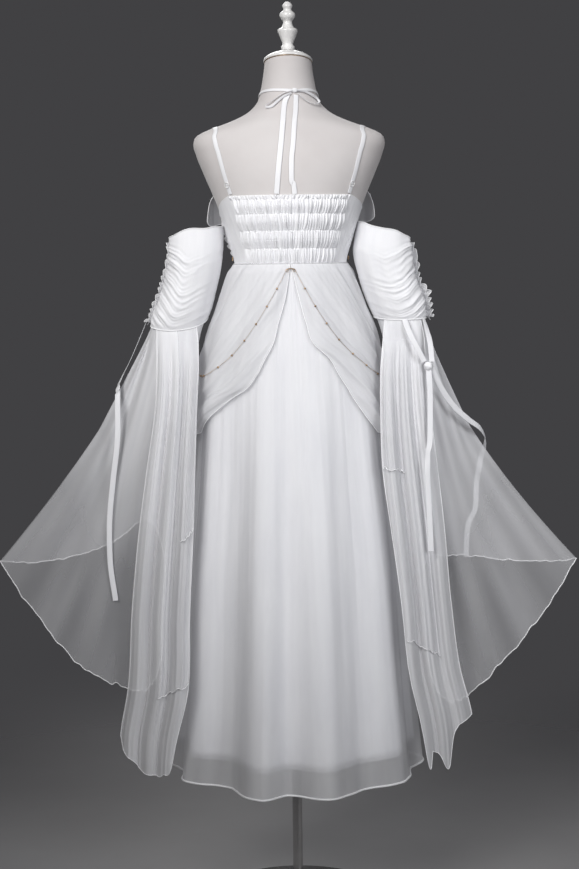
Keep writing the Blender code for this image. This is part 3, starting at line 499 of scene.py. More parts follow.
# Gilt trim.
CHAIN = table(
    "angle height",
    (4.5, 1.2865),
    (11.0, 1.2540),
    (18.0, 1.2180),
    (24.3, 1.1845),
    (31.0, 1.1555),
    (39.5, 1.1280),
    (50.0, 1.1040),
    (60.0, 1.0870),
    (69.0, 1.0795),
    (78.0, 1.0810),
    (95.0, 1.1050),
    (110.0, 1.1700),
    (118.0, 1.2400),
    (122.0, 1.2900),
)
CHAIN_OUT = 0.0026
CHAIN_LINK = 0.0019
CHAIN_WIRE = 0.0007
BEAD_STEP = 0.040
BEAD_RADIUS = 0.0021
CLASP_ANGLE = 0.8
CLASP_HEIGHT = 1.2890
CLASP_OUT = 0.0034
CLASP_HALF = 0.0085
CLASP_ARCH = 0.0022
CLASP_LEVEL = 0.009
CLASP_WIRE = 0.0011
CLASP_RINGS = {"right": -0.0070, "left": 0.0072}
RING_WIRE = 0.0005
RING_RADIUS = 0.0024
ORNAMENT_HEIGHT = 1.3110
ORNAMENT_OUT = 0.0033
PETAL_RING = 0.0028
PETAL_RADIUS = 0.0016

# Small uneven folds: depth, how many to each unit of what they run along, and seed. They run along
# degrees on the bodice and skirts, a whole turn on puffs and wings, and the width on the rest.
WAVES = {
    "shirring top": (0.0007, 0.3, 3),
    "bodice": (0.0007, 0.16, 8),
    "drape": (0.0010, 9.0, 60),
    "skirt gathers": (0.0013, 0.27, 1),
    "skirt narrow": (0.0013, 0.14, 2),
    "skirt broad": (0.0024, 0.055, 3),
    "overskirt": (0.0030, 5.5, 70),
    "overskirt fine": (0.0009, 14.0, 72),
    "puff edge": (0.0012, 6.0, 84),
    "puff rim": (0.0022, 5.0, 87),
    "wing": (0.0120, 8.0, 90),
    "wing fine": (0.0034, 12.0, 92),
    "wing hem": (0.0052, 30.0, 94),
    "fall": (0.0022, 8.0, 96),
    "fall fine": (0.0004, 17.0, 98),
    "layer hem": (0.0040, 3.0, 110),
    "layer": (0.0018, 6.0, 112),
}

# Rolled hems, by radius, and walls of opaque cloth.
SKIRT_HEM = 0.0022
FINE_HEM = 0.0011
EDGE_HEM = 0.0009
SHIRRED_WALL = 0.0006
SATIN_WALL = 0.0008

# Textures: streaks along the warp, relief of the weave in metres, how far a sheer cloth's opacity
# wanders, and the distances between which the floor fades.
STREAK_SCALE = (1.0, 0.12, 1.0)
WEAVE_RELIEF = 0.000012
CLOUDING = 0.06
FLOOR_FADE = (0.5, 2.3)


# Reading the tables.
def mix(start, end, share):
    return start + (end - start) * share


def smooth(share):
    """0 up to 0, 1 from 1, and a soft rise between them."""
    share = np.clip(share, 0.0, 1.0)
    return share * share * (3.0 - 2.0 * share)


def row_of(keys, at):
    return np.clip(np.searchsorted(keys, at) - 1, 0, len(keys) - 2)


def read(rows, at, wanted):
    """One column's values where the first column is `at`, on a smooth curve through the rows."""
    keys = next(iter(rows.values()))
    values = rows[wanted]
    slopes = np.gradient(values, keys)
    at = np.asarray(at, float)
    row = row_of(keys, at)
    step = keys[row + 1] - keys[row]
    t = np.clip((at - keys[row]) / step, 0.0, 1.0)
    rise = values[row + 1] - values[row]
    curve = rise * t * t * (3 - 2 * t)
    curve += step * slopes[row] * t * (1 - t) ** 2
    return values[row] + curve - step * slopes[row + 1] * t * t * (1 - t)


def eased(rows, at, wanted):
    """One column's values, level at each row, for crests and valleys."""
    keys = next(iter(rows.values()))
    at = np.asarray(at, float)
    row = row_of(keys, at)
    t = np.clip((at - keys[row]) / (keys[row + 1] - keys[row]), 0.0, 1.0)
    return mix(rows[wanted][row], rows[wanted][row + 1], (1 - np.cos(pi * t)) / 2)


def wander(at, waves, seed):
    """A smooth uneven curve between about -1 and 1, with that many waves to each unit of `at`."""
    dice = np.random.default_rng(seed)
    total = 0.0
    for share in (0.62, 1.0, 1.37, 1.9):
        total = total + np.sin(2 * pi * waves * share * at + 2 * pi * dice.random()) / (0.7 + share)
    return total / 1.9


def waves(name, at, side=0):
    """Small folds of that name, to both sides of the sheet."""
    depth, count, seed = WAVES[name]
    return depth * wander(at, count, seed + side)


def ripples(name, at, side=0):
    """The same folds standing outwards only, from 0 to about twice their depth."""
    return WAVES[name][0] + waves(name, at, side)


def points_of(x, y, z):
    return np.stack(np.broadcast_arrays(x, y, z), axis=-1).astype(float)


def grid(start, end, steps):
    return np.linspace(start, end, steps + 1)


def across_grid(start, end, steps):
    return grid(start, end, steps)[None, :]


def down_grid(start, end, steps):
    return grid(start, end, steps)[:, None]


def side_name(side):
    return "left" if side > 0 else "right"


# Materials, all procedural.
def node_material(name, colour, roughness, metallic=0.0):
    made = bpy.data.materials.new(name)
    made.use_nodes = True
    made.diffuse_color = (*colour, 1.0)
    shader = made.node_tree.nodes["Principled BSDF"]
    shader.inputs["Base Color"].default_value = (*colour, 1.0)
    shader.inputs["Roughness"].default_value = roughness
    shader.inputs["Metallic"].default_value = metallic
    return made, made.node_tree, shader


def texture_space(tree, kind, scale=(1.0, 1.0, 1.0)):
    """Texture coordinates: "UV" follows the cloth in metres, and "Object" the row frame."""
    where = tree.nodes.new("ShaderNodeTexCoord")
    mapping = tree.nodes.new("ShaderNodeMapping")
    mapping.inputs["Scale"].default_value = scale
    tree.links.new(where.outputs[kind], mapping.inputs["Vector"])
    return mapping.outputs["Vector"]


def noise(tree, vector, scale, detail=3.0, roughness=0.55):
    made = tree.nodes.new("ShaderNodeTexNoise")
    made.inputs["Scale"].default_value = scale
    made.inputs["Detail"].default_value = detail
    made.inputs["Roughness"].default_value = roughness
    tree.links.new(vector, made.inputs["Vector"])
    return made.outputs["Fac"]


def threads(tree, vector, direction, scale, distortion=0.6):
    made = tree.nodes.new("ShaderNodeTexWave")
    made.wave_type = "BANDS"
    made.bands_direction = direction
    made.inputs["Scale"].default_value = scale
    made.inputs["Distortion"].default_value = distortion
    made.inputs["Detail"].default_value = 1.0
    made.inputs["Detail Scale"].default_value = 2.0
    tree.links.new(vector, made.inputs["Vector"])
    return made.outputs["Fac"]


def weave(tree, vector, scale):
    """Two sets of threads that cross."""
    both = tree.nodes.new("ShaderNodeMath")
    both.operation = "ADD"
    tree.links.new(threads(tree, vector, "X", scale), both.inputs[0])
    tree.links.new(threads(tree, vector, "Y", scale * 0.93), both.inputs[1])
    return both.outputs["Value"]


def ranged(tree, value, low, high, before=(0.0, 1.0)):
    made = tree.nodes.new("ShaderNodeMapRange")
    made.inputs["From Min"].default_value = before[0]
    made.inputs["From Max"].default_value = before[1]
    made.inputs["To Min"].default_value = low
    made.inputs["To Max"].default_value = high
    tree.links.new(value, made.inputs["Value"])
    return made.outputs["Result"]


def tinted(tree, value, shader, dark, light):
    ramp = tree.nodes.new("ShaderNodeValToRGB")
    ramp.color_ramp.elements[0].color = (*dark, 1.0)
    ramp.color_ramp.elements[0].position = 0.3
    ramp.color_ramp.elements[1].color = (*light, 1.0)
    ramp.color_ramp.elements[1].position = 0.7
    tree.links.new(value, ramp.inputs["Fac"])
    tree.links.new(ramp.outputs["Color"], shader.inputs["Base Color"])


def bumped(tree, shader, *heights):
    """Relief from (height value, distance in metres) pairs, one on the other."""
    below = None
    for value, distance in heights:
        made = tree.nodes.new("ShaderNodeBump")
        made.inputs["Strength"].default_value = 1.0
        made.inputs["Distance"].default_value = distance
        tree.links.new(value, made.inputs["Height"])
        if below:
            tree.links.new(below, made.inputs["Normal"])
        below = made.outputs["Normal"]
    tree.links.new(below, shader.inputs["Normal"])


def cloth_material(name, dark, light, roughness, sheen, alpha, crinkle, threads_per_metre, dense=None):
    """Woven cloth in its own UV metres: soft streaks of colour, crinkles along the warp, and the weave.

    A sheer cloth is denser where it is gathered: `dense` gives that opacity and its reach down."""
    made, tree, shader = node_material(name, light, roughness)
    shader.inputs["Sheen Weight"].default_value = sheen
    shader.inputs["Sheen Roughness"].default_value = 0.4
    shader.inputs["Specular IOR Level"].default_value = 0.35
    along = texture_space(tree, "UV", STREAK_SCALE)
    streaks = noise(tree, along, 55.0, 4.0)
    tinted(tree, streaks, shader, dark, light)
    flat = texture_space(tree, "UV")
    woven = weave(tree, flat, threads_per_metre)
    bumped(tree, shader, (streaks, crinkle), (woven, WEAVE_RELIEF))
    if alpha < 1.0:
        low, high = alpha - CLOUDING, alpha + CLOUDING
        thin = ranged(tree, noise(tree, along, 22.0, 1.0), low, high, (0.3, 0.7))
        if dense:
            down = tree.nodes.new("ShaderNodeSeparateXYZ")
            tree.links.new(flat, down.inputs["Vector"])
            extra = ranged(tree, down.outputs["Y"], dense[0] - alpha, 0.0, (0.0, dense[1]))
            both = tree.nodes.new("ShaderNodeMath")
            both.operation = "ADD"
            tree.links.new(thin, both.inputs[0])
            tree.links.new(extra, both.inputs[1])
            thin = both.outputs["Value"]
        tree.links.new(thin, shader.inputs["Alpha"])
    return made


def mottled(tree, shader, patches, dark, light):
    """Soft patches of colour over a solid. It gives back the space that they are drawn in."""
    where = texture_space(tree, "Object")
    tinted(tree, noise(tree, where, *patches), shader, dark, light)
    return where


def worn(tree, shader, where, patches, low, high):
    """A shine that varies a little from place to place."""
    tree.links.new(ranged(tree, noise(tree, where, *patches), low, high), shader.inputs["Roughness"])


def jersey_material():
    made, tree, shader = node_material("ivory_jersey", (0.66, 0.63, 0.625), 0.82)
    shader.inputs["Sheen Weight"].default_value = 0.25
    shader.inputs["Sheen Roughness"].default_value = 0.5
    where = mottled(tree, shader, (9.0, 4.0), (0.62, 0.585, 0.58), (0.68, 0.65, 0.645))
    knit = threads(tree, where, "Z", 420.0, 1.5)
    bumped(tree, shader, (knit, 0.00006), (noise(tree, where, 260.0), 0.0001))
    return made


def lacquer_material():
    made, tree, shader = node_material("white_lacquer", (0.86, 0.85, 0.84), 0.24)
    shader.inputs["Coat Weight"].default_value = 0.5
    shader.inputs["Coat Roughness"].default_value = 0.12
    where = mottled(tree, shader, (40.0,), (0.83, 0.82, 0.81), (0.88, 0.87, 0.865))
    worn(tree, shader, where, (70.0,), 0.2, 0.32)
    bumped(tree, shader, (noise(tree, where, 160.0, 2.0), 0.00008))
    return made


def steel_material():
    made, tree, shader = node_material("bright_steel", (0.60, 0.59, 0.59), 0.2, 1.0)
    where = mottled(tree, shader, (12.0, 4.0), (0.52, 0.51, 0.50), (0.66, 0.65, 0.65))
    worn(tree, shader, where, (30.0, 5.0), 0.14, 0.34)
    bumped(tree, shader, (noise(tree, where, 500.0, 2.0), 0.00001))
    return made


def gilt_material():
    made, tree, shader = node_material("pale_gold", (0.58, 0.42, 0.24), 0.3, 1.0)
    where = mottled(tree, shader, (180.0,), (0.33, 0.21, 0.13), (0.58, 0.42, 0.26))
    worn(tree, shader, where, (300.0,), 0.22, 0.42)
    return made


def floor_material():
    """Pale matt floor that fades into the surroundings behind the form."""
    made, tree, shader = node_material("pale_floor", (0.38, 0.375, 0.38), 0.7)
    where = mottled(tree, shader, (2.0, 4.0), (0.35, 0.345, 0.35), (0.39, 0.385, 0.39))
    length = tree.nodes.new("ShaderNodeVectorMath")
    length.operation = "LENGTH"
    tree.links.new(where, length.inputs[0])
    fade = ranged(tree, length.outputs["Value"], 1.0, 0.0, FLOOR_FADE)
    tree.links.new(fade, shader.inputs["Alpha"])
    return made


# Each cloth: dark and light tint, roughness, sheen, opacity, depth of its crinkles, threads to a
# metre and, for sheer cloth that is gathered, its opacity there and how far down that reaches.
WHITE = (0.885, 0.885, 0.905)
SHADE = (0.83, 0.83, 0.86)
HEM_DARK = (0.86, 0.86, 0.88)
HEM_LIGHT = (0.92, 0.92, 0.93)
CLOTHS = {
    "shirred": (SHADE, WHITE, 0.6, 0.3, 1.0, 0.0009, 900.0),
    "satin": (SHADE, WHITE, 0.55, 0.3, 1.0, 0.0005, 900.0),
    "ribbon": (SHADE, WHITE, 0.45, 0.3, 1.0, 0.0002, 1400.0),
    "tie_ribbon": (SHADE, WHITE, 0.6, 0.3, 0.82, 0.0002, 1400.0),
    "skirt_chiffon": (SHADE, WHITE, 0.65, 0.4, 0.42, 0.0006, 1100.0),
    "draped_chiffon": (SHADE, WHITE, 0.65, 0.4, 0.62, 0.0006, 1100.0),
    "puff_chiffon": (SHADE, WHITE, 0.65, 0.4, 0.90, 0.0006, 1100.0),
    "wing_chiffon": (SHADE, WHITE, 0.65, 0.4, 0.27, 0.00005, 1100.0, (0.80, 0.40)),
    "fall_chiffon": (SHADE, WHITE, 0.65, 0.4, 0.60, 0.0003, 1100.0, (0.85, 0.30)),
    "fall_layer": (SHADE, WHITE, 0.65, 0.4, 0.40, 0.0003, 1100.0),
    "rolled_hem": (HEM_DARK, HEM_LIGHT, 0.6, 0.2, 1.0, 0.0001, 1400.0),
}
MATERIALS = {
    "ivory_jersey": jersey_material(),
    "white_lacquer": lacquer_material(),
    "bright_steel": steel_material(),
    "pale_gold": gilt_material(),
}
MATERIALS |= {name: cloth_material(name, *look) for name, look in CLOTHS.items()}


# Making pieces.
def placed(made, finish, slot, *nodes):
    """Gives a new piece its material, hangs it on the root and hides the CAD nodes that it stands for; the
    slot is not used.
    """
    bpy.context.scene.collection.objects.link(made)
    made.data.materials.append(MATERIALS[finish])
    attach(made, "root")
    if nodes:
        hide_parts(*nodes)
    return made


def lengths_along(points, axis):
    """How far along the cloth each row or column lies, in metres."""
    steps = np.linalg.norm(np.diff(points, axis=axis), axis=-1).mean(axis=1 - axis)
    return np.concatenate([[0.0], np.cumsum(steps)])


def surface_mesh(name, points, closed=False):
    """A mesh through rows of points, with its UVs in metres of cloth."""
    if closed:
        points = np.concatenate([points, points[:, :1]], axis=1)
    rows, columns = points.shape[:2]
    index = np.arange(rows * columns).reshape(rows, columns)
    if closed:
        corners_of = index.copy()
        corners_of[:, -1] = index[:, 0]
    else:
        corners_of = index
    faces = np.stack(
        [corners_of[:-1, :-1], corners_of[:-1, 1:], corners_of[1:, 1:], corners_of[1:, :-1]], axis=-1
    ).reshape(-1, 4)
    slots = np.stack([index[:-1, :-1], index[:-1, 1:], index[1:, 1:], index[1:, :-1]], axis=-1)
    across, down = np.meshgrid(lengths_along(points, 1), lengths_along(points, 0))
    uv = np.stack([across.ravel(), down.ravel()], axis=-1)[slots.reshape(-1)]
    mesh = bpy.data.meshes.new(name)
    mesh.from_pydata(points.reshape(-1, 3).tolist(), [], faces.tolist())
    if closed:
        body = bmesh.new()
        body.from_mesh(mesh)
        loose = [v for v in body.verts if not v.link_faces]
        bmesh.ops.delete(body, geom=loose, context="VERTS")
        body.to_mesh(mesh)
        body.free()
    layer = mesh.uv_layers.new(name="cloth")
    layer.data.foreach_set("uv", uv.reshape(-1))
    mesh.shade_smooth()
    return mesh


def cloth(name, points, finish, slot, *nodes, closed=False, thickness=0.0):
    """A piece of cloth through rows of points; opaque cloth gets a real thickness."""
    mesh = surface_mesh(name, points, closed)
    made = placed(bpy.data.objects.new(name, mesh), finish, slot, *nodes)
    if thickness:
        wall = made.modifiers.new("wall", "SOLIDIFY")
        wall.thickness = thickness
        wall.offset = 0.0
    return made


def rolled_hem(name, points, radius, closed=False, slot="white_chiffon", finish="rolled_hem"):
    """A narrow rolled edge along a line of points."""
    curve = bpy.data.curves.new(name, "CURVE")
    curve.dimensions = "3D"
    curve.bevel_depth = radius
    curve.bevel_resolution = 1 if radius > FINE_HEM else 0
    curve.use_fill_caps = True
    spline = curve.splines.new("POLY")
    spline.points.add(len(points) - 1)
    spline.use_cyclic_u = closed
    spline.points.foreach_set("co", np.c_[points, np.ones(len(points))].ravel())
    return placed(bpy.data.objects.new(name, curve), finish, slot)


def wire(name, points, radius, look, closed=False):
    """A fine metal or enamelled wire along a line of points."""
    return rolled_hem(name, points, radius, closed, look, look)


def rounded_off(rings, share=0.01):
    """Rings with a small one added at each end, to close them."""
    first, last = (mix(ring.mean(axis=0), ring, share) for ring in (rings[0], rings[-1]))
    return np.concatenate([[first], rings, [last]])


def turned(name, radii, heights, sides, finish, slot, *nodes, place=(0.0, 0.0, 0.0)):
    """A turned solid from its foot to its top, closed at both ends."""
    turn = np.linspace(0.0, 2 * pi, sides, endpoint=False)[None, :]
    radii = np.concatenate([[0.0001], radii, [0.0001]])[:, None]
    heights = np.concatenate([[heights[0]], heights, [heights[-1]]])[:, None]
    rings = points_of(radii * np.sin(turn), radii * np.cos(turn), heights) + np.array(place)
    made = cloth(name, rings, finish, slot, *nodes, closed=True)
    made.data.set_sharp_from_angle(angle=radians(50.0))
    return made


def smooth_route(route, steps):
    """Points on a smooth curve through a route's rows, evenly spaced along it."""
    rows = np.array(route, float)
    gaps = np.linalg.norm(np.diff(rows / np.maximum(np.ptp(rows, axis=0), 1e-6), axis=0), axis=1)
    along = np.concatenate([[0.0], np.cumsum(gaps)]) / gaps.sum()
    curve = {"at": along} | {str(i): rows[:, i] for i in range(rows.shape[1])}
    at = grid(0.0, 1.0, steps)
    return np.stack([read(curve, at, str(i)) for i in range(rows.shape[1])], axis=-1)


def ribbon_rows(centres, facings, width, thickness):
    """Rings round a flat ribbon with soft edges, whose face looks along each facing."""
    tangent = np.gradient(centres, axis=0)
    across = np.cross(tangent, facings)
    across /= np.linalg.norm(across, axis=1, keepdims=True)
    out = np.cross(across, tangent)
    out /= np.linalg.norm(out, axis=1, keepdims=True)
    section = []
    for i in range(RIBBON_SIDES):
        turn = 2 * pi * i / RIBBON_SIDES
        flat = np.sign(cos(turn)) * abs(cos(turn)) ** RIBBON_EDGE
        section.append((flat * width / 2, sin(turn) * thickness / 2))
    rings = [centres + across * u + out * v for u, v in section]
    return np.stack(rings, axis=1)


def ribbon(name, centres, facings, width, node=None, finish="ribbon"):
    """A ribbon as a closed tube of cloth round its flat section with soft edges."""
    rings = ribbon_rows(centres, facings, width, RIBBON_THICK)
    nodes = [node] if node else []
    made = cloth(name, rings, finish, "white_ribbon", *nodes, closed=True)
    return made


# The form and its stand.
def form_point(angle, height, out=0.0):
    """A point on the form, or `out` off it."""
    angle, height, out = np.broadcast_arrays(angle, height, out)
    turn = np.radians(angle)
    behind = np.cos(turn) > 0
    depth = np.where(behind, read(FORM, height, "back"), read(FORM, height, "front")) + out
    x = (read(FORM, height, "half") + out) * np.sin(turn)
    y = depth * np.cos(turn)
    share = np.clip((height - NECK_TILT_FROM) / (NECK_TOP - NECK_TILT_FROM), 0.0, 1.0)
    return points_of(x, y + read(FORM, height, "lean"), height + NECK_TILT * share * share * y)


def form_facing(angle, height):
    """The direction straight off the form there."""
    across = form_point(angle + 1.0, height) - form_point(angle - 1.0, height)
    up = form_point(angle, height + 0.002) - form_point(angle, height - 0.002)
    facing = -np.cross(across, up)
    return facing / np.linalg.norm(facing, axis=-1, keepdims=True)


def make_form():
    angles = np.linspace(0.0, 360.0, FORM_SIDES, endpoint=False)[None, :]
    heights = down_grid(FORM["height"][0], NECK_TOP, FORM_ROWS)
    rows = form_point(angles, heights)
    ends = []
    for end in (rows[0], rows[-1]):
        middle = end.mean(axis=0)
        ends.append([mix(middle, end, share) for share in FORM_END_RINGS])
    rows = np.concatenate([ends[0], rows, ends[1][::-1]])
    torso = cloth("form_torso_skin", rows, "ivory_jersey", "ivory_jersey", "form_torso", closed=True)
    torso.data.set_sharp_from_angle(angle=radians(60.0))
    share = down_grid(0.0, 1.0, 40)
    turn = np.radians(angles)
    radius = read(CAP, share, "radius")
    y = radius * np.cos(turn)
    tilt = NECK_TILT * (1.0 - read(CAP, share, "level")) * y
    rings = points_of(radius * np.sin(turn), NECK_Y + y, NECK_TOP + read(CAP, share, "rise") + tilt)
    rings = rounded_off(rings)
    cloth("form_cap_lacquer", rings, "white_lacquer", "white_lacquer", "form_cap", closed=True)
    wire("form_cap_cord", form_point(angles[0], NECK_TOP, CORD_OUT), CORD_RADIUS, "pale_gold", closed=True)
    share = grid(0.0, 1.0, 150)
    turned(
        "form_finial_lacquer", read(FINIAL, share, "radius"), read(FINIAL, share, "rise"), 64,
        "white_lacquer", "white_lacquer", "form_finial", place=(0.0, NECK_Y, FINIAL_FOOT),
    )


def make_stand():
    top = float(FORM["height"][0]) - POLE_GAP
    turned(
        "stand_pole_tube", np.full(12, POLE_RADIUS), grid(POLE_FOOT, top, 11), 48,
        "bright_steel", "bright_steel", "stand_pole",
    )
    turned(
        "stand_base_plate", BASE["radius"], BASE["height"], 128,
        "bright_steel", "bright_steel", "stand_base",
    )


# The bodice.
def shirr_point(angle, height, seed):
    """A point on the shirred back: uneven gathers that pinch in at each elastic line."""
    lines = SHIRR["height"][ELASTIC_ROWS]
    band = row_of(lines, height)
    share = np.clip((height - lines[band]) / (lines[band + 1] - lines[band]), 0.0, 1.0)
    gather = 0.0
    for number in range(len(lines) - 1):
        phase = GATHERS * (angle + SHIRRED_TO) / (2 * SHIRRED_TO)
        phase = phase + 0.50 * wander(angle, 0.07, seed + number)
        lean = 0.75 * wander(angle, 0.035, seed + 20 + number) * (share - 0.5)
        bend = 0.22 * wander(angle, 0.16, seed + 60 + number) * np.sin(pi * share)
        crest = (0.5 + 0.5 * np.cos(2 * pi * (phase + lean + bend))) ** 1.3
        size = np.clip(0.80 + 0.60 * wander(angle, 0.21, seed + 40 + number), 0.25, 1.3)
        gather = np.where(band == number, crest * size, gather)
    pinch = 0.30 + 0.70 * np.sin(pi * share) ** 0.6
    puff = read(SHIRR, height, "puff")
    line = 0.0007 * np.exp(-(((share - 0.5) - np.sign(share - 0.5) * 0.5) / 0.045) ** 2)
    out = SHIRR_OUTSIDE + 0.8 * puff + GATHER_DEPTH * pinch * (gather - 0.36) - line
    return form_point(angle, height, np.maximum(out, SHIRR_CLEAR))


def bodice_point(side, angle, down):
    """A point on the bodice's side or front, from its top edge, 0, to the waist, 1."""
    top = read(BODICE_TOP, angle, side_name(side))
    height = mix(top, WAIST, down)
    near_seam = np.exp(-(((angle - SIDE_RUCHE_ANGLE) / SIDE_RUCHE_SPREAD) ** 2))
    sag = down - 0.012 * np.abs(angle - SIDE_RUCHE_ANGLE) / 10.0
    ruche = 0.5 - 0.5 * np.cos(2 * pi * SIDE_RUCHES * (sag + 0.02 * wander(down, 3.0, 5)))
    swell = SIDE_RUCHE[side] * near_seam * (0.45 + 0.55 * ruche) * np.sin(pi * down) ** 0.7
    gather = ripples("bodice", angle + 4 * down) * np.sin(pi * down)
    return form_point(side * angle, height, BODICE_OUT + swell + gather)


def make_bodice():
    angles = across_grid(-SHIRRED_TO, SHIRRED_TO, SHIRR_COLUMNS)
    heights = down_grid(SHIRR["height"][0], SHIRR["height"][-1], 96)
    rows = shirr_point(angles, heights, SHIRR_SEED)
    rows[-1, :, 2] += waves("shirring top", angles[0])
    back = cloth(
        "bodice_back_shirring", rows, "shirred", "white_satin", "bodice_back", thickness=SHIRRED_WALL
    )
    for side in (1, -1):
        name = f"bodice_side_{side_name(side)}"
        rows = bodice_point(side, across_grid(SIDE_FROM, SIDE_TO, 40), down_grid(0.0, 1.0, 70))
        panel = cloth(f"{name}_panel", rows, "satin", "white_satin", name, thickness=SATIN_WALL)
    angles = across_grid(FRONT_FROM, 180.0, 72)
    halves = [bodice_point(side, angles, down_grid(0.0, 1.0, 80)) for side in (1, -1)]
    rows = np.concatenate([halves[0], halves[1][:, -2::-1]], axis=1)
    front = cloth(
        "bodice_front_panel", rows, "satin", "white_satin", "bodice_front", thickness=SATIN_WALL
    )
    for side in (1, -1):
        angles = grid(SIDE_FROM, 180.0, 130)
        edge = bodice_point(side, angles, np.zeros_like(angles))
        rolled_hem(f"bodice_edge_{side_name(side)}", edge, FINE_HEM, slot="white_satin")
    angles = grid(-SHIRRED_TO, SHIRRED_TO, SHIRR_COLUMNS)
    edge = shirr_point(angles, np.full(angles.shape, SHIRR["height"][-1]), SHIRR_SEED)
    rolled_hem("bodice_edge_back", edge, EDGE_HEM, slot="white_satin")


def drape_point(side, along, down):
    """A point on the flounce over the bust, from the centre front to its rounded tip at the armpit."""
    name = side_name(side)
    tip = np.clip((along - DRAPE_TIP) / (1 - DRAPE_TIP), 0.0, 0.995)
    down = DRAPE_TIP_LEVEL + (down - DRAPE_TIP_LEVEL) * np.sqrt(1 - tip * tip)
    height = mix(read(DRAPE_TOP, along, name), read(DRAPE_FOOT, along, name), down)
    flare = DRAPE_FLARE * along**2.2 * (0.08 + 0.92 * down**0.7)
    fold = DRAPE_FOLD * along * (1 - np.cos(2 * pi * DRAPE_FOLDS * along)) * down
    fine = ripples("drape", along, side) * np.minimum(1.0, 3 * along) * (0.3 + 0.7 * down)
    return form_point(side * mix(DRAPE_FROM, DRAPE_TO, along), height, DRAPE_OUT + flare + fold + fine)


def make_drapes():
    for side in (1, -1):
        name = f"front_drape_{side_name(side)}"
        rows = drape_point(side, across_grid(0.0, 1.0, 160), down_grid(0.0, 1.0, 40))
        made = cloth(f"{name}_flounce", rows, "draped_chiffon", "white_chiffon", name)
        edge = np.concatenate([rows[0], rows[1:, -1], rows[-1, -2::-1]])
        hem = rolled_hem(f"{name}_hem", edge, EDGE_HEM)


# The skirts.
def skirt_point(angle, height, out=0.0, fine=1.0):
    """A point on the outer skirt, or `out` off it, with the small folds that the gathers send down."""
    angle, height, out = np.broadcast_arrays(angle, height, out)
    folded = np.where(angle >= FOLDS["angle"][0], angle, angle + 360.0)
    turn = np.radians(angle)
    below = SKIRT_TOP - height
    gathers = ripples("skirt gathers", angle) * smooth((below + 0.004) / 0.010) * np.exp(-below / 0.11)
    narrow = ripples("skirt narrow", angle + 5 * below) * smooth(below / 0.12) * np.exp(-below / 0.55)
    broad = ripples("skirt broad", angle - 6 * below) * smooth(below / 0.45)
    small = fine * (gathers + narrow + broad)
    push = out + read(SKIRT, height, "fold") * eased(FOLDS, folded, "depth") + small
    depth = np.where(np.cos(turn) > 0, read(SKIRT, height, "back"), read(SKIRT, height, "front")) + push
    return points_of((read(SKIRT, height, "half") + push) * np.sin(turn), depth * np.cos(turn), height)


def lining_point(angle, height):
    return skirt_point(angle, height, -read(LINING_IN, height, "gap") - LINING_EXTRA, LINING_FINE)


def make_skirts():
    panels = {"back": (-SIDE_SEAM, SIDE_SEAM), "front": (SIDE_SEAM, 360.0 - SIDE_SEAM)}
    for panel, (start, end) in panels.items():
        columns = int((end - start) * SKIRT_COLUMNS)
        start, end = start + SEAM_GAP, end - SEAM_GAP
        rows = skirt_point(across_grid(start, end, columns), down_grid(SKIRT_TOP + WAIST_LAP, SKIRT_FOOT, 96))
        outer = cloth(f"skirt_{panel}_chiffon", rows, "skirt_chiffon", "white_chiffon", f"skirt_{panel}")
        hem = rolled_hem(f"skirt_{panel}_hem", rows[-1] + np.array([0, 0, SKIRT_HEM]), SKIRT_HEM)
        rows = lining_point(across_grid(start, end, columns // 2), down_grid(SKIRT_TOP, LINING_FOOT, 64))
        inner = cloth(
            f"lining_{panel}_satin", rows, "satin", "white_satin", f"lining_{panel}", thickness=SATIN_WALL
        )
        hem = rolled_hem(f"lining_{panel}_hem", rows[-1], EDGE_HEM, slot="white_satin", finish="satin")


def overskirt_point(side, angle, height, out=0.0):
    """A point on the overskirt by its angle from the centre back, or `out` off it."""
    edge = read(OVERSKIRT_EDGE, height, side_name(side))
    across = np.clip((angle - edge) / (OVERSKIRT_SIDE - edge), 0.0, 1.0)
    down = (SKIRT_TOP - height) / (SKIRT_TOP - OVERSKIRT_FOOT["height"][0])
    low = np.clip(down, 0.0, 1.0)
    fold = (1 - np.cos(2 * pi * OVERSKIRT_FOLDS * across)) / 2
    swept = across - OVERSKIRT_FAN * low
    small = ripples("overskirt", swept, side) + ripples("overskirt fine", swept, side)
    small = small * smooth(low / 0.05) * smooth(across / 0.06)
    spread = OVERSKIRT_SPREAD * down + OVERSKIRT_FOLD * fold * low**0.6 + small
    lift = OVERSKIRT_LIFT * smooth(low / 0.25)
    return skirt_point(side * angle, height, OVERSKIRT_OUT + spread + lift + out, OVERSKIRT_FINE)


def overskirt_rows(side, down, across):
    height = mix(SKIRT_TOP, read(OVERSKIRT_FOOT, across, "height"), down)
    edge = read(OVERSKIRT_EDGE, height, side_name(side))
    return overskirt_point(side, mix(edge, OVERSKIRT_SIDE, across), height)


def make_overskirt():
    for side in (1, -1):
        name = f"overskirt_{side_name(side)}"
        rows = overskirt_rows(side, down_grid(0.0, 1.0, 100), across_grid(0.0, 1.0, 130))
        made = cloth(f"{name}_chiffon", rows, "draped_chiffon", "white_chiffon", name)
        edge = np.concatenate([rows[:, 0], rows[-1, 1:]])
        hem = rolled_hem(f"{name}_hem", edge, EDGE_HEM)


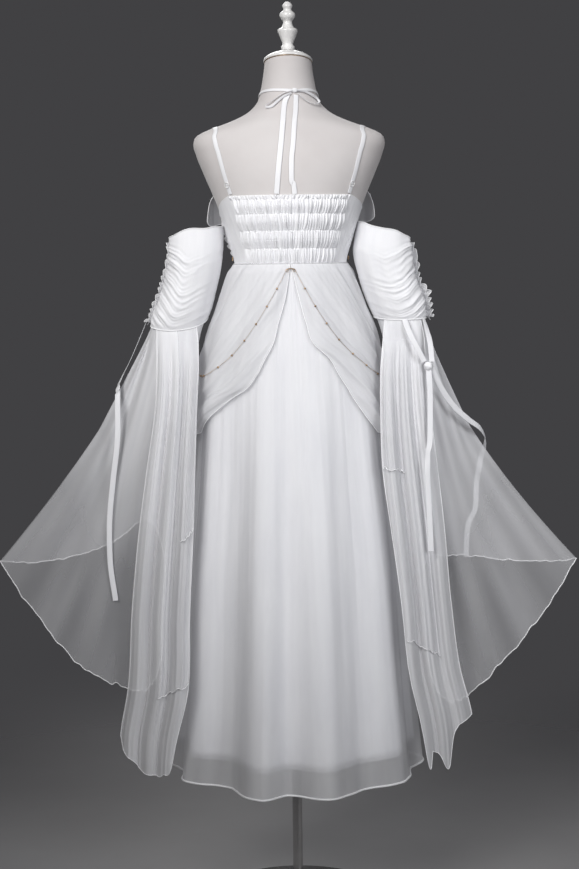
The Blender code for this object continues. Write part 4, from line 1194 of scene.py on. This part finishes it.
# The sleeves.
def ruching(side, inward, down):
    """How far the puff's ruches stand out: swags that fan from the outer seam and fade inwards."""
    drop = np.sin(pi / 2 * np.minimum(inward / RUCHE_LOW, 1.0)) ** 0.9
    lift = np.maximum(inward - RUCHE_LOW, 0.0) / (1 - RUCHE_LOW)
    swag = RUCHE_SAG * (drop - 0.55 * lift**1.5)
    source = (down - 0.60 * swag) / (1 + 0.7 * swag)
    source = source + 0.022 * wander(inward, 1.3, 80 + side)
    big = RUCHES * source + 0.60 * wander(source, 2.3, 82 + side)
    fine = CREASES * source + 0.70 * wander(source, 4.1, 86 + side) + 0.6 * wander(inward, 2.2, 88 + side)
    crest = (0.5 + 0.5 * np.cos(2 * pi * big)) ** 1.4
    crease = (0.5 + 0.5 * np.cos(2 * pi * fine)) ** 1.4
    uneven = 0.75 + 0.55 * wander(source + 0.7 * inward, 3.3, 85 + side)
    reach = np.exp(-((inward / 0.55) ** 2)) + 0.10
    near = np.exp(-((inward / 0.45) ** 2)) * (1 + 0.6 * wander(source - inward, 3.1, 89 + side))
    inside = smooth((source + 0.02) / 0.10) * smooth((1.0 - down) / 0.07)
    return (RUCHE_DEPTH * reach * uneven * crest + CREASE_DEPTH * near * crease) * inside


def puff_point(side, turn, down, out=0.0):
    """A point on the puff: turn 0 is outward and 90 is behind, down 0 is the top and 1 the hem."""
    rows = PUFF[side]
    turn, down, out = np.broadcast_arrays(turn, down, out)
    inner_x, inner_z, outer_x, outer_z, depth = (
        read(rows, down * PUFF_RINGS, column)
        for column in ("inner_x", "inner_z", "outer_x", "outer_z", "depth")
    )
    outward = np.cos(np.radians(turn))
    behind = np.sin(np.radians(turn))
    inward = (1 - outward) / 2
    rim = (1 - np.minimum(down, 1.0)) ** 6
    seam = -SEAM_IN * np.exp(-((inward / 0.05) ** 2))
    edge = ripples("puff edge", turn / 360.0, side) * rim
    swell = out + seam + ruching(side, inward, down) + edge
    x = (inner_x + outer_x) / 2 + ((outer_x - inner_x) / 2 + swell) * outward
    y = (depth + swell) * behind
    z = mix(inner_z, outer_z, (1 + outward) / 2) - PUFF_DIP[side] * down**3 * np.maximum(behind, 0.0)
    rise = RIM_RISE[side] * np.exp(-(((inward - RIM_RISE_AT[side]) / 0.22) ** 2))
    z = z + (rise + ripples("puff rim", turn / 360.0, side)) * rim * np.abs(behind)
    return points_of(side * x, y, z)


def wing_point(side, turn, down):
    """A point on the bell wing, from the puff's hem, 0, to its own hem, 1."""
    name = side_name(side)
    top = puff_point(side, turn, np.ones_like(turn * down), WING_IN)
    bend = mix(WING_INNER_BEND, WING_OUTER_BEND[side], (1 + np.cos(np.radians(turn))) / 2)
    x = mix(top[..., 0], side * read(WING_HEM, turn, name + "_x"), down**bend)
    y = mix(top[..., 1], read(WING_HEM, turn, "depth"), down**0.7)
    z = mix(top[..., 2], read(WING_HEM, turn, name + "_z"), down)
    face = np.sin(np.radians(turn))
    free = smooth(down / 0.10)
    soft = waves("wing", turn / 360.0, side) * free * (1 - 0.30 * down)
    soft = soft + waves("wing fine", turn / 360.0, side) * free * (1 - 0.6 * down)
    ripple = waves("wing hem", turn / 360.0, side) * smooth((down - 0.94) / 0.06)
    ripple = ripple * np.where(face > 0, 1.0, 0.4)
    outer = np.maximum(np.cos(np.radians(turn)), 0.0) ** 2
    x = x + side * WING_FULL * outer * np.sin(pi * np.clip(down / 0.45, 0.0, 1.0))
    return points_of(x, y + np.abs(face) ** 0.5 * (soft + 0.5 * ripple), z + np.abs(face) ** 0.3 * ripple)


def fall_point(side, across, down):
    """A point on the folded cascade, across from its outer edge, 0, to its inner edge, 1."""
    rows = FALL[side]
    height = mix(FALL_START, read(FALL_HEM[side], across, "height"), down)
    fold = FALL_SOFTNESS * read(rows, height, "fold")
    turn = 2 * pi * FALL_FOLDS * across
    x = mix(read(rows, height, "outer_x"), read(rows, height, "inner_x"), across)
    x = x + 0.3 * fold * np.sin(turn)
    arch = read(rows, height, "arch") * 4 * across * (1 - across)
    y = mix(read(rows, height, "outer_y"), read(rows, height, "inner_y"), across)
    below = smooth((FALL_START - height) / 0.08)
    fine = below * (waves("fall", across, side) + waves("fall fine", across, side))
    return points_of(side * x, y + arch - fold * np.cos(turn) + fine, height)


def fall_layer_rows(side, inner, outer, inner_hem, outer_hem, out):
    """A shorter layer that lies on the fall between two shares of its width, down to its own hem."""
    share = across_grid(0.0, 1.0, 60)
    down = down_grid(0.0, 1.0, 70)
    across = mix(inner, outer, share)
    foot = mix(inner_hem, outer_hem, share) + waves("layer hem", share, side)
    whole = FALL_START - read(FALL_HEM[side], across, "height")
    rows = fall_point(side, across, down * (FALL_START - foot) / whole)
    sway = ripples("layer", share + 0.1 * down, side) * smooth(down / 0.3)
    rows[..., 1] += out * smooth(down / 0.1) + sway
    top = puff_point(side, mix(*FALL_TURNS, across), np.ones_like(across), FALL_IN + FALL_LAYER_TOP)
    return np.concatenate([top, rows])


def frill_rows(side, shift):
    """One ruffled edge that the drawstring pulls up along the puff's outer seam."""
    down = down_grid(0.03, 1.0, 200)
    across = across_grid(0.0, 1.0, 6)
    phase = 2 * pi * (FRILLS[side] * down + 0.30 * wander(down, 1.6, 104 + side)) + shift
    size = (0.60 + 0.50 * smooth(down / 0.8)) * (1.0 + 0.25 * wander(down, 3.0, 102 + side))
    width = size * FRILL_WIDTH[side] * (0.72 + 0.28 * np.cos(phase))
    x = read(PUFF[side], down * PUFF_RINGS, "outer_x") - SEAM_IN + FRILL_START + width * across
    y = FRILL_SWING * size * across**0.8 * np.sin(phase)
    sway = FRILL_BOB * across * np.sin(phase + 0.9)
    z = read(PUFF[side], down * PUFF_RINGS, "outer_z") - FRILL_DROP * across + sway
    return points_of(side * x, y, z)


def make_puff(side, name):
    turns = np.linspace(0.0, 360.0, SLEEVE_COLUMNS, endpoint=False)
    rows = puff_point(side, turns[None, ::2], down_grid(0.0, 1.0, 150))
    puff = cloth(f"{name}_chiffon", rows, "puff_chiffon", "white_chiffon", name, closed=True)
    top = rolled_hem(f"{name}_top", rows[0], FINE_HEM, closed=True)
    foot = rolled_hem(f"{name}_hem", rows[-1], FINE_HEM, closed=True)
    return puff


def make_frills(side, name):
    for layer, shift in FRILL_LAYERS.items():
        rows = frill_rows(side, shift)
        frill = cloth(f"{name}_{layer}", rows, "draped_chiffon", "white_chiffon")
        hem = rolled_hem(f"{name}_{layer}_hem", rows[:, -1], EDGE_HEM)


def make_wing(side, name):
    turns = np.linspace(0.0, 360.0, SLEEVE_COLUMNS, endpoint=False)
    rows = wing_point(side, turns[None, :], down_grid(0.0, 1.0, 80))
    wing = cloth(f"{name}_chiffon", rows, "wing_chiffon", "white_chiffon", name, closed=True)
    hem = rolled_hem(f"{name}_hem", rows[-1], FINE_HEM, closed=True)


def make_fall(side, name):
    across = across_grid(0.0, 1.0, 130)
    top = puff_point(side, mix(*FALL_TURNS, across), np.ones_like(across), FALL_IN)
    rows = np.concatenate([top, fall_point(side, across, down_grid(0.0, 1.0, 90))])
    fall = cloth(f"{name}_chiffon", rows, "fall_chiffon", "white_chiffon", name)
    edge = np.concatenate([rows[:, 0], rows[-1, 1:], rows[-2::-1, -1]])
    hem = rolled_hem(f"{name}_hem", edge, EDGE_HEM)
    for number, layer in enumerate(FALL_LAYERS[side]):
        rows = fall_layer_rows(side, *layer, FALL_LAYER_OUT * (1 + number))
        panel = cloth(f"{name}_layer_{number}", rows, "fall_layer", "white_chiffon")
        hem = rolled_hem(f"{name}_layer_{number}_hem", rows[-1], EDGE_HEM)


def make_sleeves():
    for side in (1, -1):
        name = side_name(side)
        puff = make_puff(side, f"sleeve_puff_{name}")
        make_frills(side, f"sleeve_frill_{name}")
        make_wing(side, f"sleeve_wing_{name}")
        make_fall(side, f"sleeve_fall_{name}")


# Ribbons, straps and knots.
def free_ribbon(name, route, node):
    """A hanging ribbon: each row is a place and the angle that its face looks along."""
    rows = smooth_route(route, 12 * (len(route) - 1))
    turn = np.radians(rows[:, 3])
    facings = points_of(np.sin(turn), np.cos(turn), 0.0)
    return ribbon(name, rows[:, :3], facings, TIE_WIDTH, node, "tie_ribbon")


def form_ribbon(name, route, width, node):
    """A ribbon that lies on the form along (angle, height) rows."""
    rows = smooth_route(route, 10 * (len(route) - 1))
    centres = form_point(rows[:, 0], rows[:, 1], RIBBON_OUT)
    return ribbon(name, centres, form_facing(rows[:, 0], rows[:, 1]), width, node)


def back_ribbon(name, route, width, out, node, tilt):
    """A ribbon down the back along (x, height) rows, turned on its long axis by the tilt."""
    rows = smooth_route(route, 10 * (len(route) - 1))
    half = read(FORM, rows[:, 1], "half")
    centres = form_point(np.degrees(np.arcsin(rows[:, 0] / (half + out))), rows[:, 1], out)
    facing = form_facing(np.degrees(np.arcsin(rows[:, 0] / half)), rows[:, 1])
    side = np.cross(np.gradient(centres, axis=0), facing)
    side /= np.linalg.norm(side, axis=1, keepdims=True)
    return ribbon(name, centres, facing * cos(radians(tilt)) + side * sin(radians(tilt)), width, node)


def knot(name, place, size, node):
    """A pulled knot: a rounded body with the ribbon's turns raised round it."""
    down = down_grid(0.02, 0.98, 26)
    turn = np.linspace(0.0, 2 * pi, 40, endpoint=False)[None, :]
    wrap = 1.0 + 0.13 * np.abs(np.sin(2.5 * pi * down + 0.9 * np.sin(turn) + 0.4)) ** 1.5
    radius = np.sin(pi * down) ** 0.7 * wrap
    x = size[0] * radius * np.sin(turn)
    y = size[1] * radius * np.cos(turn)
    z = size[2] * np.cos(pi * down)
    rows = rounded_off(points_of(x, y, z) + np.array(place))
    return cloth(name, rows, "ribbon", "white_ribbon", node, closed=True)


def ring_points(place, facing, radius, count=40):
    """Points round a ring that faces along `facing`."""
    turn_to = Vector(facing).to_track_quat("Z", "Y").to_matrix()
    spots = []
    for i in range(count):
        turn = 2 * pi * i / count
        spots.append(Vector(place) + turn_to @ Vector((radius * cos(turn), radius * sin(turn), 0.0)))
    return np.array(spots)


def make_straps():
    for side in (1, -1):
        name = side_name(side)
        route = [(side * angle, height) for angle, height in STRAP_ROUTE]
        form_ribbon(f"strap_{name}_satin", route, STRAP_WIDTH, f"strap_{name}")
        out = RIBBON_OUT + RIBBON_THICK / 2 + SLIDER_GAP + SLIDER_WIRE
        place = form_point(side * SLIDER_ANGLE, SLIDER_HEIGHT, out)
        facing = form_facing(side * SLIDER_ANGLE, SLIDER_HEIGHT)
        ring = ring_points(place, facing, SLIDER_RADIUS)
        slider = wire(f"strap_slider_{name}_ring", ring, SLIDER_WIRE, "white_lacquer", closed=True)
        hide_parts(f"strap_slider_{name}")
        across = np.cross(facing, (0.0, 0.0, 1.0))
        across /= np.linalg.norm(across)
        bar = np.array([place - across * SLIDER_RADIUS, place, place + across * SLIDER_RADIUS])
        wire(f"strap_slider_{name}_bar", bar, SLIDER_WIRE * 0.8, "white_lacquer")


def make_halter():
    knot_x, knot_z = KNOT
    half = float(read(FORM, knot_z, "half"))
    place = form_point(np.degrees(np.arcsin(knot_x / (half + KNOT_OUT))), knot_z, KNOT_OUT)
    knot("halter_knot_ribbon", place, KNOT_SIZE, "halter_knot")
    for side in (1, -1):
        name = side_name(side)
        end_x = knot_x + side * KNOT_SIZE[0] * 0.8
        route = [(side * angle, height) for angle, height in BAND_ROUTE[: BAND_ROWS[side]]]
        route.append((float(np.degrees(np.arcsin(end_x / (half + RIBBON_OUT)))), knot_z))
        form_ribbon(f"halter_band_{name}_ribbon", route, BAND_WIDTH, f"halter_band_{name}")
    for name, (route, width, out, tilt) in HALTER_ENDS.items():
        back_ribbon(f"{name}_ribbon", route, width, out, name, tilt)


def make_ties():
    for name, route in TIES.items():
        free_ribbon(f"{name}_ribbon", route, name)
    knot("tie_right_knot_ribbon", TIE_KNOT, TIE_KNOT_SIZE, "tie_right_knot")


# Gilt trim.
def joined_balls(name, places, radius, segments, rings, finish, slot, *nodes):
    """Many small balls as one mesh."""
    body = bmesh.new()
    for place in places:
        move = Matrix.Translation(Vector(place))
        bmesh.ops.create_uvsphere(body, u_segments=segments, v_segments=rings, radius=radius, matrix=move)
    mesh = bpy.data.meshes.new(name)
    body.to_mesh(mesh)
    body.free()
    mesh.shade_smooth()
    return placed(bpy.data.objects.new(name, mesh), finish, slot, *nodes)


def evenly(line, step):
    """Points a fixed step apart along a line."""
    along = np.concatenate([[0.0], np.cumsum(np.linalg.norm(np.diff(line, axis=0), axis=1))])
    stops = np.arange(0.0, along[-1], step)
    return np.stack([np.interp(stops, along, line[:, i]) for i in range(3)], axis=-1)


def make_chain(side, name):
    angles = grid(CHAIN["angle"][0], CHAIN["angle"][-1], 400)
    line = overskirt_point(side, angles, read(CHAIN, angles, "height"), CHAIN_OUT)
    links = evenly(line, CHAIN_LINK)
    beads = evenly(line, BEAD_STEP)[1:]
    joined_balls(f"{name}_links", links, CHAIN_WIRE, 6, 4, "pale_gold", "pale_gold", name)
    joined_balls(f"{name}_beads", beads, BEAD_RADIUS, 16, 10, "pale_gold", "pale_gold")


def make_ornament(side, name):
    half = float(read(FORM, ORNAMENT_HEIGHT, "half")) + BODICE_OUT + ORNAMENT_OUT
    middle = Vector((side * half, 0.0, ORNAMENT_HEIGHT))
    turns = np.arange(0, 6) * pi / 3
    petals = [middle + Vector((0.0, PETAL_RING * cos(t), PETAL_RING * sin(t))) for t in turns]
    joined_balls(f"{name}_flower", petals, PETAL_RADIUS, 10, 8, "pale_gold", "pale_gold", name)


def make_clasp():
    middle = overskirt_point(1, np.array(CLASP_ANGLE), np.array(CLASP_HEIGHT), CLASP_OUT)
    middle[0] = 0.0
    xs = grid(-CLASP_HALF, CLASP_HALF, 16)
    hook = [middle + np.array([x, 0.0, CLASP_ARCH * (1 - (x / CLASP_LEVEL) ** 2)]) for x in xs]
    clasp = wire("chain_clasp_hook", np.array(hook), CLASP_WIRE, "pale_gold")
    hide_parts("chain_clasp")
    for side, x in CLASP_RINGS.items():
        place = middle + np.array([x, 0.0004, -0.0016])
        ring = ring_points(place, (0.0, 1.0, 0.1), RING_RADIUS, 28)
        wire(f"chain_ring_{side}", ring, RING_WIRE, "pale_gold", closed=True)


def make_trim():
    for side in (1, -1):
        make_chain(side, f"chain_{side_name(side)}")
        make_ornament(side, f"waist_ornament_{side_name(side)}")
    make_clasp()


# Floor, light and camera.
EYE = Vector((0.0064, 3.6, 1.308))
PITCH = radians(5.54)
ROLL = -0.0126
FOCAL_PIXELS = 1800.0
IMAGE_HEIGHT = 869.0
SENSOR = 36.0
FLOOR_RADIUS = 8.0


def make_floor():
    mesh = bpy.data.meshes.new("floor")
    body = bmesh.new()
    bmesh.ops.create_circle(body, cap_ends=True, segments=96, radius=FLOOR_RADIUS)
    body.to_mesh(mesh)
    body.free()
    floor = bpy.data.objects.new("floor", mesh)
    bpy.context.scene.collection.objects.link(floor)
    mesh.materials.append(floor_material())


def area_light(name, place, target, size, spread, energy, colour):
    data = bpy.data.lights.new(name, "AREA")
    data.shape = "DISK"
    data.size = size
    data.spread = radians(spread)
    data.energy = energy
    data.color = colour
    made = bpy.data.objects.new(name, data)
    made.location = place
    made.rotation_euler = (Vector(target) - Vector(place)).to_track_quat("-Z", "Y").to_euler()
    bpy.context.scene.collection.objects.link(made)


def make_light():
    world = bpy.data.worlds.new("soft_grey")
    world.use_nodes = True
    background = world.node_tree.nodes["Background"]
    background.inputs["Color"].default_value = (0.95, 0.94, 1.0, 1.0)
    background.inputs["Strength"].default_value = 0.056
    bpy.context.scene.world = world
    area_light("key", (1.2, 2.3, 2.75), (0.0, 0.0, 1.34), 1.7, 49.0, 8.7, (1.0, 0.995, 0.985))
    area_light("fill", (-1.9, 2.3, 1.9), (-0.36, 0.0, 0.96), 1.8, 38.0, 4.6, (0.97, 0.98, 1.0))
    area_light("front", (0.6, -2.6, 2.6), (0.0, 0.0, 1.1), 1.8, 60.0, 3.8, (1.0, 1.0, 1.0))


def make_camera():
    forward = Vector((0.0, -cos(PITCH), -sin(PITCH)))
    level = Vector((-1.0, 0.0, 0.0))
    upright = Vector((0.0, -sin(PITCH), cos(PITCH)))
    right = level * cos(ROLL) + upright * sin(ROLL)
    up = upright * cos(ROLL) - level * sin(ROLL)
    data = bpy.data.cameras.new("camera")
    data.sensor_width = SENSOR
    data.sensor_height = SENSOR
    data.sensor_fit = "AUTO"
    data.lens = FOCAL_PIXELS * SENSOR / IMAGE_HEIGHT
    made = bpy.data.objects.new("camera", data)
    turn = Matrix((right, up, -forward)).transposed().to_4x4()
    made.matrix_world = Matrix.Translation(EYE) @ turn
    bpy.context.scene.collection.objects.link(made)
    bpy.context.scene.camera = made


make_camera()
make_light()
make_floor()
make_form()
make_stand()
make_bodice()
make_drapes()
make_skirts()
make_overskirt()
make_sleeves()
make_straps()
make_halter()
make_ties()
make_trim()
bpy.context.scene.view_settings.view_transform = "Standard"
bpy.context.scene.cycles.transparent_max_bounces = 32
bpy.context.view_layer.update()
